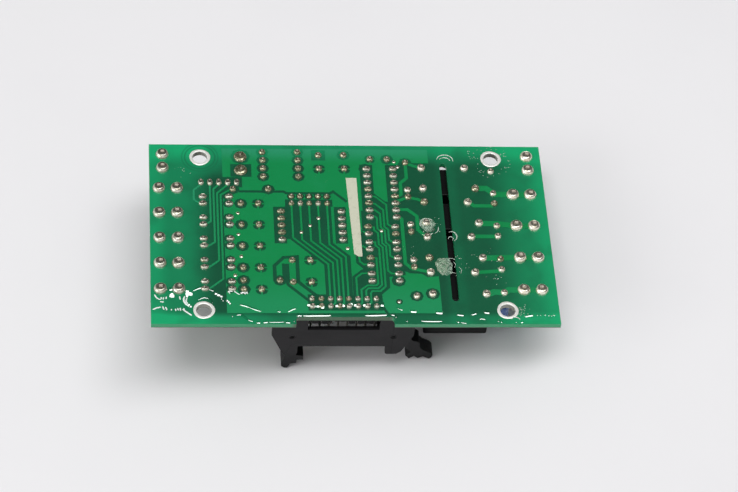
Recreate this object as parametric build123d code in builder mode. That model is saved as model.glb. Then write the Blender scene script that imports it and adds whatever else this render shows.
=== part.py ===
from build123d import *
from math import atan, cos, degrees, radians, sin
import os

# Relay interface board, seen from its solder side: +Z is up, out of the solder side.
# The origin is the centre of the mounting-hole pattern, on the laminate's solder face.
# Sketches use the back-left corner of the board as their datum: X to the right, Y negative to the front.

# ---- board
board_width = 113.0
board_depth = 64.6
board_thickness = 1.6
copper_thickness = 0.08
hole_diameter = 4.3
hole_inset_x = 14.5
hole_inset_y = 4.8
ring_diameter = 6.1
ring_thickness = 0.12
notch_width = 27.2
notch_depth = 2.4
notch_radius = 1.0
slot_x = 84.35
slot_width = 2.0
slot_length = 50.0
slot_centre_y = -31.6

# ---- pads and solder
grid = 2.54
joint_sides = 6
clearance_sides = 8
round_sides = 14
can_sides = 20
spoke_width = 0.5
signal_width = 0.55
tab_pad = 3.85
tab_joint = 1.3
relay_pad = 2.5
relay_joint = 1.0
lead_pad = 2.1
lead_joint = 0.85
chip_pad = 1.75
chip_joint = 0.8
via_pad = 1.15
via_joint = 0.25

# ---- relays and their contact protection
relay_count = 4
relay_pitch = 12.7
relay_x = 78.0
relay_first_y = -8.4
relay_row = 7.6
relay_contact_x = 90.5
relay_contact_step = 2.6
relay_length = 18.0
relay_width = 9.6
relay_height = 15.8
relay_overhang = 1.2
relay_edge = 0.5
varistor_x = 98.1
varistor_first_y = -9.6
varistor_pitch = 11.95
varistor_leads = 8.2
varistor_diameter = 11.3
varistor_thickness = 4.2
varistor_standoff = 1.6
varistor_edge = 0.9
flyback_x = 73.5
flyback_first_y = -6.5
flyback_pitch = 12.75
flyback_leads = 10.16

# ---- axial parts
axial_body = 5.2
axial_diameter = 2.6
axial_wire = 0.6
rectifier_x = 32.4
rectifier_first_y = -2.8
rectifier_pitch = 3.06
rectifier_leads = 10.1

# ---- quick-connect tabs
input_tab_x = 5.22
input_tab_first_y = -16.4
input_tab_pitch = 9.02
input_tab_count = 5
output_tab_inset = 6.75
output_tab_first_y = -18.2
output_tab_pitch = 11.5
output_tab_count = 4
tab_legs = 5.08
tab_blade = 6.35
tab_shoulder = 7.4
tab_shoulder_height = 1.8
tab_height = 10.5
tab_thickness = 0.8
tab_hole = 1.5
tab_point = 1.2

# ---- chips
coupler_pitch = 7.62
coupler_row = 7.45
coupler_count = 5
coupler_x = 14.75
coupler_first_y = -19.45
output_coupler_pitch = 5.6
output_coupler_row = 7.65
output_coupler_count = 4
output_coupler_x = 61.15
output_coupler_first_y = -30.25
driver_x = 61.9
driver_row = 7.6
driver_first_y = -8.9
driver_pin_count = 16
chip_body = 6.35
chip_end = 1.05
chip_height = 3.3
chip_standoff = 0.5
chip_draft = 6.0
lead_width = 0.6
lead_thickness = 0.3

# ---- capacitors
reservoir_x = 26.05
reservoir_y = -7.1
reservoir_leads = 5.05
reservoir_diameter = 10.0
reservoir_height = 21.0
smoothing_x = 48.5
smoothing_y = -6.45
smoothing_leads = 5.1
smoothing_diameter = 8.0
smoothing_height = 11.5
film_x = 55.75
film_y = -6.35
film_leads = 5.2
film_length = 7.2
film_width = 3.0
film_height = 7.5
ceramic_leads = 4.9
ceramic_length = 5.6
ceramic_width = 2.6
ceramic_height = 5.2
input_ceramic_x = 25.7
input_ceramic_first_y = -22.0
input_ceramic_pitch = 7.67
bypass_x = 63.35
bypass_y = -5.25
filter_x = 39.4
filter_y = -42.4
filter_step = 7.7
filter_leads = 5.1

# ---- resistor networks and the jumper header
network_pin_count = 5
network_width = 2.4
network_height = 5.0
top_network_x = 14.6
top_network_y = -13.9
side_network_y = -24.8
left_network_x = 36.7
right_network_x = 53.8
jumper_x = 40.05
jumper_y = -19.3
jumper_column_count = 5
jumper_base = 2.5
jumper_pin_length = 6.0
pin_size = 0.64
resistor_leads = 10.05
resistor_x = 23.6
resistor_y = -16.7
second_resistor_x = 25.7
second_resistor_y = -49.5

# ---- latch header
header_column_count = 8
header_x = 44.36
header_y = -55.94
header_depth = 9.2
header_wall = 1.4
header_floor = 2.8
ear_reach = 19.8
ear_drop = 7.4
ear_taper = 3.0
leg_inner = 12.3
leg_outer = 16.7
leg_drop = 16.0
leg_corner = 1.2
wall_drop = 12.4
window_half = 9.95
window_top = 0.3
window_drop = 4.8
key_width = 4.4
key_drop = 5.0
contact_length = 4.6
pivot_reach = 14.1
pivot_drop = 7.95
pivot_diameter = 1.8
pivot_clearance = 0.05
latch_width = 4.4
latch_offset = -0.4
latch_back = 1.7
latch_front = 1.8
latch_head = 3.9
foot_clearance = 1.39
grip_top = 8.7
grip_flare = 0.8
grip_scoop = 1.1
latch_tip = 17.2
tip_width = 0.9
hook_reach = 4.0
hook_top = 11.6
hook_bottom = 13.4
latch_open = 40.0

# ---- marking strip and residue
strip_thickness = 0.06
crust_height = 0.9

# ---- datums
solder_side = Plane(origin=(-board_width / 2, board_depth / 2, 0))
copper_side = solder_side.offset(copper_thickness)
part_side = solder_side.offset(-board_thickness)
header_mid_x = header_x + grid * (header_column_count - 1) / 2
header_mid_y = header_y - grid / 2
latch_foot = pivot_reach - grid * (header_column_count - 1) / 2 - pin_size / 2 - foot_clearance


def row(x, y, step_x, step_y, count):
    """Points in a line from (x, y)."""
    return [(x + step_x * n, y + step_y * n) for n in range(count)]


def pairs(points, step_x, step_y):
    """Each point and its partner one step away."""
    return [p for x, y in points for p in ((x, y), (x + step_x, y + step_y))]


def board_point(x, y, z=0.0):
    """A point given from the back-left corner, in the part's own frame."""
    return (x - board_width / 2, y + board_depth / 2, z)


# ---- pad patterns
input_tabs = row(input_tab_x, input_tab_first_y, 0, -input_tab_pitch, input_tab_count)
supply_tab = (3.75, -6.35)
output_tab_x = board_width - output_tab_inset
output_tabs = row(output_tab_x, output_tab_first_y, 0, -output_tab_pitch, output_tab_count)
common_tab = (board_width - 4.05, -6.5)
input_tab_pads = pairs([(x - tab_legs / 2, y) for x, y in input_tabs], tab_legs, 0)
input_tab_pads += pairs([(supply_tab[0], supply_tab[1] + tab_legs / 2)], 0, -tab_legs)
output_tab_pads = pairs([(x - tab_legs / 2, y) for x, y in output_tabs], tab_legs, 0)
output_tab_pads += pairs([(common_tab[0], common_tab[1] + tab_legs / 2)], 0, -tab_legs)

relay_origins = row(relay_x, relay_first_y, 0, -relay_pitch, relay_count)
relay_pads = pairs(relay_origins, 0, -relay_row)
relay_pads += pairs(
    row(relay_contact_x, relay_first_y, 0, -relay_pitch, relay_count),
    relay_contact_step,
    -relay_row,
)
varistor_origins = row(varistor_x, varistor_first_y, 0, -varistor_pitch, relay_count)
varistor_pads = pairs(varistor_origins, 0, -varistor_leads)
flyback_origins = row(flyback_x, flyback_first_y, 0, -flyback_pitch, relay_count)
flyback_pads = pairs(flyback_origins, 0, -flyback_leads)
rectifier_origins = row(rectifier_x, rectifier_first_y, 0, -rectifier_pitch, 4)
rectifier_pads = pairs(rectifier_origins, rectifier_leads, 0)

coupler_origins = row(coupler_x, coupler_first_y, 0, -coupler_pitch, coupler_count)
coupler_pads = pairs(pairs(coupler_origins, 0, -grid), coupler_row, 0)
output_origins = row(
    output_coupler_x, output_coupler_first_y, 0, -output_coupler_pitch, output_coupler_count
)
output_coupler_pads = pairs(pairs(output_origins, 0, -grid), output_coupler_row, 0)
driver_pads = pairs(row(driver_x, driver_first_y, 0, -grid, driver_pin_count // 2), driver_row, 0)

reservoir_pads = [
    (reservoir_x, reservoir_y + reservoir_leads / 2),
    (reservoir_x, reservoir_y - reservoir_leads / 2),
]
smoothing_pads = pairs([(smoothing_x, smoothing_y + smoothing_leads / 2)], 0, -smoothing_leads)
film_pads = pairs([(film_x, film_y + film_leads / 2)], 0, -film_leads)
bypass_pads = pairs([(bypass_x, bypass_y)], ceramic_leads, 0)
input_ceramics = row(
    input_ceramic_x, input_ceramic_first_y, 0, -input_ceramic_pitch, coupler_count
)
input_ceramic_pads = pairs(input_ceramics, ceramic_leads, 0)
filter_origins = row(filter_x, filter_y, 0, -filter_step, 2)
filter_pads = pairs(filter_origins, filter_leads, 0)

top_network = row(top_network_x, top_network_y, grid, 0, network_pin_count)
left_network = row(left_network_x, side_network_y, 0, -grid, network_pin_count)
right_network = row(right_network_x, side_network_y, 0, -grid, network_pin_count)
jumper_row = row(jumper_x, jumper_y, grid, 0, jumper_column_count)
jumper_pads = pairs(jumper_row, 0, -grid)
header_row = row(header_x, header_y, grid, 0, header_column_count)
header_pads = pairs(header_row, 0, -grid)
resistor_origins = [(resistor_x, resistor_y), (second_resistor_x, second_resistor_y)]
resistor_pads = pairs(resistor_origins, resistor_leads, 0)

chip_pads = coupler_pads + output_coupler_pads + driver_pads + jumper_pads + header_pads
chip_pads += top_network + left_network + right_network
lead_pads = flyback_pads + rectifier_pads + resistor_pads + film_pads + bypass_pads
lead_pads += smoothing_pads + input_ceramic_pads + filter_pads + varistor_pads
vias = [(24.8, -25.5), (24.75, -33.2), (25.3, -41.1), (23.4, -47.8), (45.0, -29.9)]
vias += [(47.5, -27.2), (42.45, -32.3), (55.2, -38.1), (70.3, -6.2), (71.2, -8.1)]
vias += [(68.5, -56.9), (65.1, -31.7)]


# ---- laminate
with BuildPart() as laminate:
    with BuildSketch(part_side):
        with Locations((board_width / 2, -board_depth / 2)):
            Rectangle(board_width, board_depth)
        with Locations((header_mid_x, -board_depth)):
            Rectangle(notch_width, 2 * notch_depth, mode=Mode.SUBTRACT)
        with Locations((slot_x, slot_centre_y)):
            SlotOverall(slot_length, slot_width, rotation=90, mode=Mode.SUBTRACT)
    extrude(amount=board_thickness)
    notch_corners = laminate.edges().filter_by(Axis.Z)
    notch_corners = notch_corners.filter_by_position(
        Axis.Y, -board_depth / 2 + notch_depth / 2, -board_depth / 2 + notch_depth * 1.5
    )
    fillet(notch_corners.filter_by(GeomType.LINE), notch_radius)
    with Locations((0, 0, 0)):
        with GridLocations(board_width - 2 * hole_inset_x, board_depth - 2 * hole_inset_y, 2, 2):
            Hole(hole_diameter / 2)
laminate.part.label = "laminate"

# ---- tinned rings round the mounting holes
with BuildPart() as hole_rings:
    with BuildSketch(Plane.XY):
        with GridLocations(board_width - 2 * hole_inset_x, board_depth - 2 * hole_inset_y, 2, 2):
            RegularPolygon(ring_diameter / 2, 20)
            RegularPolygon(hole_diameter / 2, 20, major_radius=False, mode=Mode.SUBTRACT)
    extrude(amount=ring_thickness)
hole_rings.part.label = "hole_rings"


# ---- copper artwork
def field(*points, mode=Mode.ADD):
    """A straight-sided area of the artwork, added to or cut from the open sketch."""
    with BuildLine() as outline:
        Polyline(*points, close=True)
    make_face(outline.line, mode=mode)


def cut_field(*points):
    field(*points, mode=Mode.SUBTRACT)


def cut_rounds(points, diameter, sides=clearance_sides):
    with Locations(*points):
        RegularPolygon(diameter / 2, sides, mode=Mode.SUBTRACT)


def cut_block(x0, x1, y0, y1):
    with Locations(((x0 + x1) / 2, (y0 + y1) / 2)):
        Rectangle(x1 - x0, y0 - y1, mode=Mode.SUBTRACT)


def spokes(points, diameter):
    with Locations(*points):
        Rectangle(diameter, spoke_width)
        Rectangle(spoke_width, diameter)


def track(width, *points, mode=Mode.ADD):
    """A copper track of one width along a bent line."""
    with BuildLine() as route:
        Polyline(*points)
    trace(route.line, line_width=width, mode=mode)


def cut_track(width, *points):
    track(width, *points, mode=Mode.SUBTRACT)


def cut_pads():
    """Leaves room for every solder joint, so that copper stops at the joint's foot."""
    with Locations(*chip_pads):
        RegularPolygon(chip_pad / 2, joint_sides, mode=Mode.SUBTRACT)
    with Locations(*lead_pads):
        RegularPolygon(lead_pad / 2, joint_sides, mode=Mode.SUBTRACT)
    with Locations(*relay_pads):
        RegularPolygon(relay_pad / 2, joint_sides, mode=Mode.SUBTRACT)
    with Locations(*input_tab_pads, *output_tab_pads):
        RegularPolygon(tab_pad / 2, joint_sides, mode=Mode.SUBTRACT)


large_thermals = [smoothing_pads[1], film_pads[1], filter_pads[1], filter_pads[3]]
large_thermals += [(x + ceramic_leads, y) for x, y in input_ceramics]
lead_rings = [film_pads[0], bypass_pads[1], resistor_pads[0], resistor_pads[1], resistor_pads[2]]
lead_rings += [resistor_pads[3]] + input_ceramics + [flyback_pads[0], flyback_pads[-1]]

with BuildPart() as copper_pour:
    with BuildSketch(solder_side):
        field((20.8, -1.5), (80.2, -1.5), (80.2, -60.9), (20.8, -60.9))
        # room for the driver, the output couplers and the coil drive
        cut_field(
            (60.2, -7.3), (71.2, -7.3), (71.6, -6.6), (80.4, -6.6), (80.4, -47.9), (77.0, -48.3),
            (75.5, -47.1), (72.2, -46.9), (70.9, -46.2), (70.9, -47.6), (66.3, -48.2), (66.3, -52.0),
            (63.8, -54.5), (63.8, -55.0), (55.9, -55.0), (55.9, -48.1), (58.4, -45.9), (59.2, -45.4),
            (57.3, -43.3), (57.3, -40.2), (58.9, -40.2), (58.9, -33.4), (59.7, -31.5), (59.7, -24.4),
            (60.2, -24.4),
        )
        field((63.9, -7.0), (67.6, -7.0), (67.6, -21.0), (66.9, -21.0), (63.8, -18.0))
        # room for the bus from the jumper header to the latch header
        cut_field(
            (38.2, -22.5), (51.2, -22.5), (51.2, -36.2), (55.8, -40.8), (55.8, -54.6), (48.3, -54.6),
            (48.3, -44.0), (39.1, -34.8), (38.2, -34.8),
        )
        cut_block(38.3, 51.7, -20.4, -23.0)
        cut_block(34.8, 38.3, -23.1, -36.4)
        cut_block(52.0, 55.4, -23.1, -36.4)
        cut_block(43.2, 63.9, -54.4, -60.0)
        cut_block(20.7, 26.3, -12.2, -16.0)
        cut_field((20.7, -15.9), (24.5, -15.9), (24.0, -17.0), (21.6, -19.1), (20.7, -19.1))
        # insulating channels
        cut_track(0.85, (25.2, -17.5), (38.0, -17.5), (38.8, -18.1), (51.2, -18.1), (52.1, -17.4), (55.9, -21.2))
        cut_track(1.05, (34.4, -49.5), (34.4, -44.3), (37.1, -41.4), (40.8, -41.1), (40.8, -50.0), (45.6, -54.8))
        cut_track(0.9, (37.6, -50.4), (38.2, -51.3), (43.6, -56.7))
        cut_track(0.8, (63.8, -57.0), (63.8, -58.5), (65.1, -61.2))
        cut_block(36.5, 38.5, -43.6, -50.4)
        # clearance round the pads that the pour does not join
        cut_rounds(lead_rings, 3.8)
        cut_rounds(rectifier_pads, 3.6)
        cut_rounds([(x + coupler_row, y) for x, y in pairs(coupler_origins, 0, -grid)], 3.1)
        cut_rounds(jumper_row, 2.5)
        cut_rounds([(reservoir_pads[0])], 5.6)
        cut_rounds([driver_pads[0], output_coupler_pads[-1], relay_pads[7]], 4.1)
        cut_rounds([vias[10]], 2.0)
        cut_block(23.1, 29.1, -7.3, -12.1)
        cut_block(46.5, 50.5, -2.0, -5.8)
        cut_block(31.5, 33.3, rectifier_first_y, -12.0)
        cut_block(41.6, 43.4, rectifier_first_y, -12.0)
        # pads that the pour joins through four spokes
        cut_rounds(large_thermals, 3.8)
        cut_rounds([bypass_pads[0]], 3.3)
        spokes(large_thermals, 4.2)
        spokes([bypass_pads[0]], 3.7)
        cut_pads()
        with Locations(*reservoir_pads):
            Rectangle(4.0, 3.4, mode=Mode.SUBTRACT)
    extrude(amount=copper_thickness)
copper_pour.part.label = "copper_pour"

with BuildPart() as signal_tracks:
    with BuildSketch(solder_side):
        # input fan, from the first network to the input couplers
        track(signal_width, (14.6, -15.0), (12.5, -17.1), (12.5, -20.6), (14.2, -22.0))
        track(signal_width, (17.1, -15.0), (17.1, -28.5), (15.4, -29.9))
        track(signal_width, (19.6, -15.0), (18.1, -16.7), (18.1, -36.0), (15.6, -37.8))
        track(signal_width, (22.2, -15.0), (19.1, -18.2), (19.1, -42.5), (15.6, -45.5))
        track(signal_width, (23.4, -16.5), (20.1, -18.8), (20.1, -49.0), (15.6, -53.0))
        # bus
        track(signal_width, (40.05, -22.5), (40.05, -34.3), (49.45, -43.7), (49.45, -55.3))
        track(signal_width, (42.55, -22.5), (42.55, -35.0), (50.75, -43.2), (50.75, -57.3), (50.0, -58.1))
        track(signal_width, (45.05, -22.5), (45.05, -35.4), (52.0, -42.35), (52.0, -55.3))
        track(signal_width, (47.6, -22.5), (47.6, -36.1), (53.2, -41.7), (53.2, -57.3), (52.6, -58.1))
        track(signal_width, (50.15, -22.5), (50.15, -36.7), (54.5, -41.05), (54.5, -55.3))
        # driver to output couplers
        track(signal_width, (62.4, -19.1), (64.0, -19.1), (67.05, -22.15), (67.05, -29.3), (68.2, -30.3))
        track(signal_width, (62.4, -21.6), (63.8, -21.8), (66.05, -24.05), (66.05, -30.3), (67.05, -31.3), (67.05, -35.0), (68.2, -35.9))
        track(signal_width, (62.4, -24.1), (63.5, -24.0), (65.05, -25.4), (65.05, -30.5), (66.05, -31.6), (66.05, -36.0), (67.05, -37.0), (67.05, -40.7), (68.2, -41.5))
        track(signal_width, (62.4, -26.7), (63.6, -26.4), (64.05, -27.0), (64.05, -31.0), (65.05, -32.0), (65.05, -36.2), (66.05, -37.2), (66.05, -46.0), (67.0, -47.0), (68.2, -47.0))
        # output couplers to the latch header
        track(signal_width, (61.7, -30.2), (63.05, -30.4), (63.05, -31.5), (64.05, -32.5), (64.05, -36.6), (65.05, -37.6), (65.05, -51.5), (63.5, -53.2), (61.2, -53.2), (60.75, -54.0), (60.75, -57.3), (60.0, -58.0))
        track(signal_width, (61.7, -35.8), (63.05, -35.8), (63.05, -37.0), (64.05, -38.0), (64.05, -51.0), (63.0, -52.2), (60.2, -52.2), (59.5, -53.0), (59.5, -55.3))
        track(signal_width, (61.7, -41.3), (63.05, -41.5), (63.05, -50.6), (62.4, -51.2), (60.0, -51.2), (58.2, -52.7), (58.2, -57.3), (57.6, -58.0))
        track(signal_width, (60.6, -46.9), (58.6, -47.0), (57.0, -48.5), (57.0, -55.3))
        track(signal_width, (58.2, -41.0), (58.4, -42.8), (59.4, -43.8), (60.6, -43.8))
        track(signal_width, (59.85, -31.9), (60.8, -32.7))
        track(signal_width, (59.3, -37.05), (60.8, -38.3))
        cut_pads()
    extrude(amount=copper_thickness)
signal_tracks.part.label = "signal_tracks"

with BuildPart() as power_tracks:
    with BuildSketch(solder_side):
        # driver to the relay coils
        track(0.95, (73.5, -7.4), (73.5, -12.2), (71.6, -14.1), (71.6, -18.3), (70.2, -19.4))
        track(0.95, (70.2, -20.9), (72.2, -19.9), (73.5, -19.4), (76.3, -20.1), (77.6, -20.9))
        track(0.95, (74.2, -6.9), (77.2, -8.2))
        track(1.0, (70.2, -23.9), (73.0, -23.9), (75.5, -26.3), (75.5, -31.3), (77.4, -33.5))
        track(1.0, (70.0, -26.2), (71.1, -27.3), (71.1, -43.4), (72.9, -45.3), (77.3, -46.3))
        # relay contacts, varistors and output tabs
        track(1.9, (93.6, -15.9), (96.2, -15.9), (98.6, -18.1), (103.0, -18.2))
        track(1.2, (91.0, -21.2), (92.2, -22.4), (97.6, -22.4))
        track(1.9, (93.6, -28.8), (98.4, -29.0), (103.0, -29.6))
        track(1.3, (91.2, -33.6), (97.6, -33.6))
        track(1.9, (93.6, -41.4), (98.4, -41.3), (103.0, -41.1))
        track(1.2, (91.2, -46.5), (97.8, -46.0))
        track(1.9, (93.8, -54.2), (95.2, -53.4), (98.2, -53.6), (99.5, -52.7), (103.0, -52.7))
        for y in [p[1] for p in output_tabs]:
            track(1.9, (output_tab_x - 1.2, y), (output_tab_x + 1.2, y))
        cut_pads()
    extrude(amount=copper_thickness)
power_tracks.part.label = "power_tracks"


# ---- solder joints
def cone_angle(pad, height):
    """Draft that brings a joint's top to about two fifths of its foot."""
    return degrees(atan(0.29 * pad / height))


def solder(points, pad, height):
    with BuildSketch(solder_side) as feet:
        with Locations(*points):
            RegularPolygon(pad / 2, joint_sides)
    extrude(feet.sketch, amount=height, taper=cone_angle(pad, height))


with BuildPart() as input_tab_solder:
    solder(input_tab_pads, tab_pad, tab_joint)
input_tab_solder.part.label = "input_tab_solder"

with BuildPart() as output_tab_solder:
    solder(output_tab_pads, tab_pad, tab_joint)
output_tab_solder.part.label = "output_tab_solder"

with BuildPart() as relay_solder:
    solder(relay_pads, relay_pad, relay_joint)
relay_solder.part.label = "relay_solder"

with BuildPart() as varistor_solder:
    solder(varistor_pads, lead_pad, lead_joint)
varistor_solder.part.label = "varistor_solder"

with BuildPart() as diode_solder:
    solder(flyback_pads + rectifier_pads, lead_pad, lead_joint)
diode_solder.part.label = "diode_solder"

with BuildPart() as input_coupler_solder:
    solder(coupler_pads, chip_pad, chip_joint)
input_coupler_solder.part.label = "input_coupler_solder"

with BuildPart() as output_coupler_solder:
    solder(output_coupler_pads, chip_pad, chip_joint)
output_coupler_solder.part.label = "output_coupler_solder"

with BuildPart() as driver_solder:
    solder(driver_pads, chip_pad, chip_joint)
driver_solder.part.label = "driver_solder"

with BuildPart() as network_solder:
    solder(top_network + left_network + right_network, chip_pad, chip_joint)
network_solder.part.label = "network_solder"

with BuildPart() as jumper_solder:
    solder(jumper_pads, chip_pad, chip_joint)
jumper_solder.part.label = "jumper_solder"

with BuildPart() as header_solder:
    solder(header_pads, chip_pad, chip_joint)
header_solder.part.label = "header_solder"

with BuildPart() as capacitor_solder:
    solder(smoothing_pads + film_pads + bypass_pads, lead_pad, lead_joint)
    solder(input_ceramic_pads + filter_pads, lead_pad, lead_joint)
    with BuildSketch(solder_side):
        with Locations(*reservoir_pads):
            Rectangle(4.0, 3.4)
    extrude(amount=lead_joint, taper=cone_angle(3.4, lead_joint))
capacitor_solder.part.label = "capacitor_solder"

with BuildPart() as resistor_solder:
    solder(resistor_pads, lead_pad, lead_joint)
resistor_solder.part.label = "resistor_solder"

with BuildPart() as via_domes:
    with BuildSketch(copper_side):
        with Locations(*vias):
            RegularPolygon(via_pad / 2, joint_sides)
    extrude(amount=via_joint, taper=cone_angle(via_pad, via_joint))
via_domes.part.label = "via_domes"

# ---- marking strip and residue
with BuildPart() as marking_strip:
    with BuildSketch(copper_side):
        field((56.0, -12.3), (59.1, -12.3), (59.2, -41.0), (58.0, -41.0), (56.9, -40.0))
    extrude(amount=strip_thickness)
marking_strip.part.label = "marking_strip"

with BuildPart() as glue_residue:
    with BuildSketch(solder_side):
        field((79.5, -44.2), (80.4, -46.6), (81.8, -47.4), (83.1, -45.2), (83.2, -42.6), (82.0, -41.0), (80.4, -41.3))
    extrude(amount=crust_height, taper=35)
glue_residue.part.label = "glue_residue"

with BuildPart() as flux_residue:
    with BuildSketch(solder_side):
        field((77.0, -30.6), (77.7, -32.3), (79.4, -32.2), (80.3, -30.8), (79.8, -29.5))
    extrude(amount=crust_height * 0.7, taper=35)
flux_residue.part.label = "flux_residue"

# ---- relays
with BuildPart() as relays:
    with BuildSketch(part_side):
        with Locations(*relay_origins):
            with Locations((relay_length / 2 - relay_overhang, -relay_row / 2)):
                Rectangle(relay_length, relay_width)
    extrude(amount=-relay_height)
    top_edges = relays.faces().filter_by(Axis.Z).group_by(Axis.Z)[0].edges()
    chamfer(top_edges, relay_edge)
relays.part.label = "relays"

# ---- varistors: coated discs standing on edge
varistor_centre_z = -board_thickness - varistor_standoff - varistor_diameter / 2
varistor_plane = Plane(
    origin=board_point(varistor_x, 0, varistor_centre_z), x_dir=(0, -1, 0), z_dir=(1, 0, 0)
)
varistor_run = [-varistor_first_y + varistor_leads / 2 + varistor_pitch * n for n in range(relay_count)]
with BuildPart() as varistors:
    with BuildSketch(varistor_plane):
        with Locations(*[(s, 0) for s in varistor_run]):
            RegularPolygon(varistor_diameter / 2, round_sides)
    extrude(amount=varistor_thickness / 2, both=True)
    flanks = varistors.faces().filter_by(Axis.X)
    chamfer(flanks.edges(), varistor_edge)
    with BuildSketch(part_side):
        with Locations(*varistor_pads):
            Rectangle(1.2, 1.2)
    extrude(amount=-varistor_standoff - varistor_diameter / 4)
varistors.part.label = "varistors"


# ---- axial parts: a body along X or Y between two bent wires
axial_drop = axial_diameter / 2 + 0.2
RIGHTWARD = (1, 0, 0)
FRONTWARD = (0, -1, 0)


def side_plane(x, y, along):
    """Upright plane through a lead: X runs along the part, Y is up from the part side."""
    normal = Vector(*along).cross(Vector(0, 0, 1))
    return Plane(origin=board_point(x, y, -board_thickness), x_dir=along, z_dir=normal)


def axial_bodies(points, along, span):
    for x, y in points:
        upright = side_plane(x, y, along)
        start = upright.from_local_coords(((span - axial_body) / 2, -axial_drop, 0))
        with BuildSketch(Plane(origin=start, z_dir=along)) as end:
            RegularPolygon(axial_diameter / 2, round_sides)
        extrude(end.sketch, amount=axial_body)


def axial_wires(points, along, span):
    reach = (span - axial_body) / 2
    half = axial_wire / 2
    for x, y in points:
        with BuildSketch(side_plane(x, y, along)) as wires:
            field(
                (-half, 0), (half, 0), (half, half - axial_drop), (reach, half - axial_drop),
                (reach, -half - axial_drop), (-half, -half - axial_drop),
            )
            mirror(about=Plane.YZ.offset(span / 2))
        extrude(wires.sketch, amount=half, both=True)


with BuildPart() as flyback_diodes:
    axial_bodies(flyback_origins, FRONTWARD, flyback_leads)
flyback_diodes.part.label = "flyback_diodes"

with BuildPart() as flyback_wires:
    axial_wires(flyback_origins, FRONTWARD, flyback_leads)
flyback_wires.part.label = "flyback_wires"

with BuildPart() as rectifier_diodes:
    axial_bodies(rectifier_origins, RIGHTWARD, rectifier_leads)
rectifier_diodes.part.label = "rectifier_diodes"

with BuildPart() as rectifier_wires:
    axial_wires(rectifier_origins, RIGHTWARD, rectifier_leads)
rectifier_wires.part.label = "rectifier_wires"

with BuildPart() as axial_resistors:
    axial_bodies(resistor_origins, RIGHTWARD, resistor_leads)
axial_resistors.part.label = "axial_resistors"

with BuildPart() as resistor_wires:
    axial_wires(resistor_origins, RIGHTWARD, resistor_leads)
resistor_wires.part.label = "resistor_wires"


# ---- quick-connect tabs
def tab_profile():
    """One blade in the upright plane, hanging from the part side."""
    with BuildLine() as outline:
        Polyline(
            (-tab_shoulder / 2, 0),
            (-tab_shoulder / 2, -tab_shoulder_height),
            (-tab_blade / 2, -tab_shoulder_height),
            (-tab_blade / 2, tab_point - tab_height),
            (tab_point - tab_blade / 2, -tab_height),
            (tab_blade / 2 - tab_point, -tab_height),
            (tab_blade / 2, tab_point - tab_height),
            (tab_blade / 2, -tab_shoulder_height),
            (tab_shoulder / 2, -tab_shoulder_height),
            (tab_shoulder / 2, 0),
            close=True,
        )
    make_face(outline.line)
    with Locations((0, -tab_height * 0.62)):
        RegularPolygon(tab_hole / 2, 10, mode=Mode.SUBTRACT)


def blades(points, along):
    for x, y in points:
        with BuildSketch(side_plane(x, y, along)) as blade:
            tab_profile()
        extrude(blade.sketch, amount=tab_thickness / 2, both=True)


with BuildPart() as input_blades:
    blades(input_tabs, RIGHTWARD)
    blades([supply_tab], FRONTWARD)
input_blades.part.label = "input_blades"

with BuildPart() as output_blades:
    blades(output_tabs, RIGHTWARD)
    blades([common_tab], FRONTWARD)
output_blades.part.label = "output_blades"


# ---- chips
def chip_bodies(points, row_width, length, first_pin):
    """Moulded bodies centred between their rows, drafted both ways from the lead plane."""
    middle = part_side.offset(-chip_standoff - chip_height / 2)
    for x, y in points:
        with BuildSketch(middle) as waist:
            with Locations((x + row_width / 2, y + first_pin - length / 2)):
                Rectangle(chip_body, length)
        extrude(waist.sketch, amount=chip_height / 2, taper=chip_draft)
        extrude(waist.sketch, amount=-chip_height / 2, taper=chip_draft)


def chip_leads(points, row_width):
    """Leads that leave the body at its waist and turn up to the board."""
    waist_y = -chip_standoff - chip_height / 2
    half = lead_thickness / 2
    inner = (row_width - chip_body) / 2
    for x, y in points:
        with BuildSketch(side_plane(x, y, RIGHTWARD)) as leads:
            field(
                (-half, 0), (half, 0), (half, waist_y + half), (inner, waist_y + half),
                (inner, waist_y - half), (-half, waist_y - half),
            )
            mirror(about=Plane.YZ.offset(row_width / 2))
        extrude(leads.sketch, amount=lead_width / 2, both=True)


coupler_length = grid + 2 * chip_end
driver_length = grid * (driver_pin_count / 2 - 1) + 2 * chip_end

with BuildPart() as input_couplers:
    chip_bodies(coupler_origins, coupler_row, coupler_length, chip_end)
input_couplers.part.label = "input_couplers"

with BuildPart() as output_couplers:
    chip_bodies(output_origins, output_coupler_row, coupler_length, chip_end)
output_couplers.part.label = "output_couplers"

with BuildPart() as driver_chip:
    chip_bodies([(driver_x, driver_first_y)], driver_row, driver_length, chip_end)
driver_chip.part.label = "driver_chip"

with BuildPart() as coupler_leads:
    chip_leads(pairs(coupler_origins, 0, -grid), coupler_row)
    chip_leads(pairs(output_origins, 0, -grid), output_coupler_row)
coupler_leads.part.label = "coupler_leads"

with BuildPart() as driver_leads:
    chip_leads(row(driver_x, driver_first_y, 0, -grid, driver_pin_count // 2), driver_row)
driver_leads.part.label = "driver_leads"


# ---- capacitors
groove_top = 0.9
groove_flank = 0.6
rim = 0.5


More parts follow.
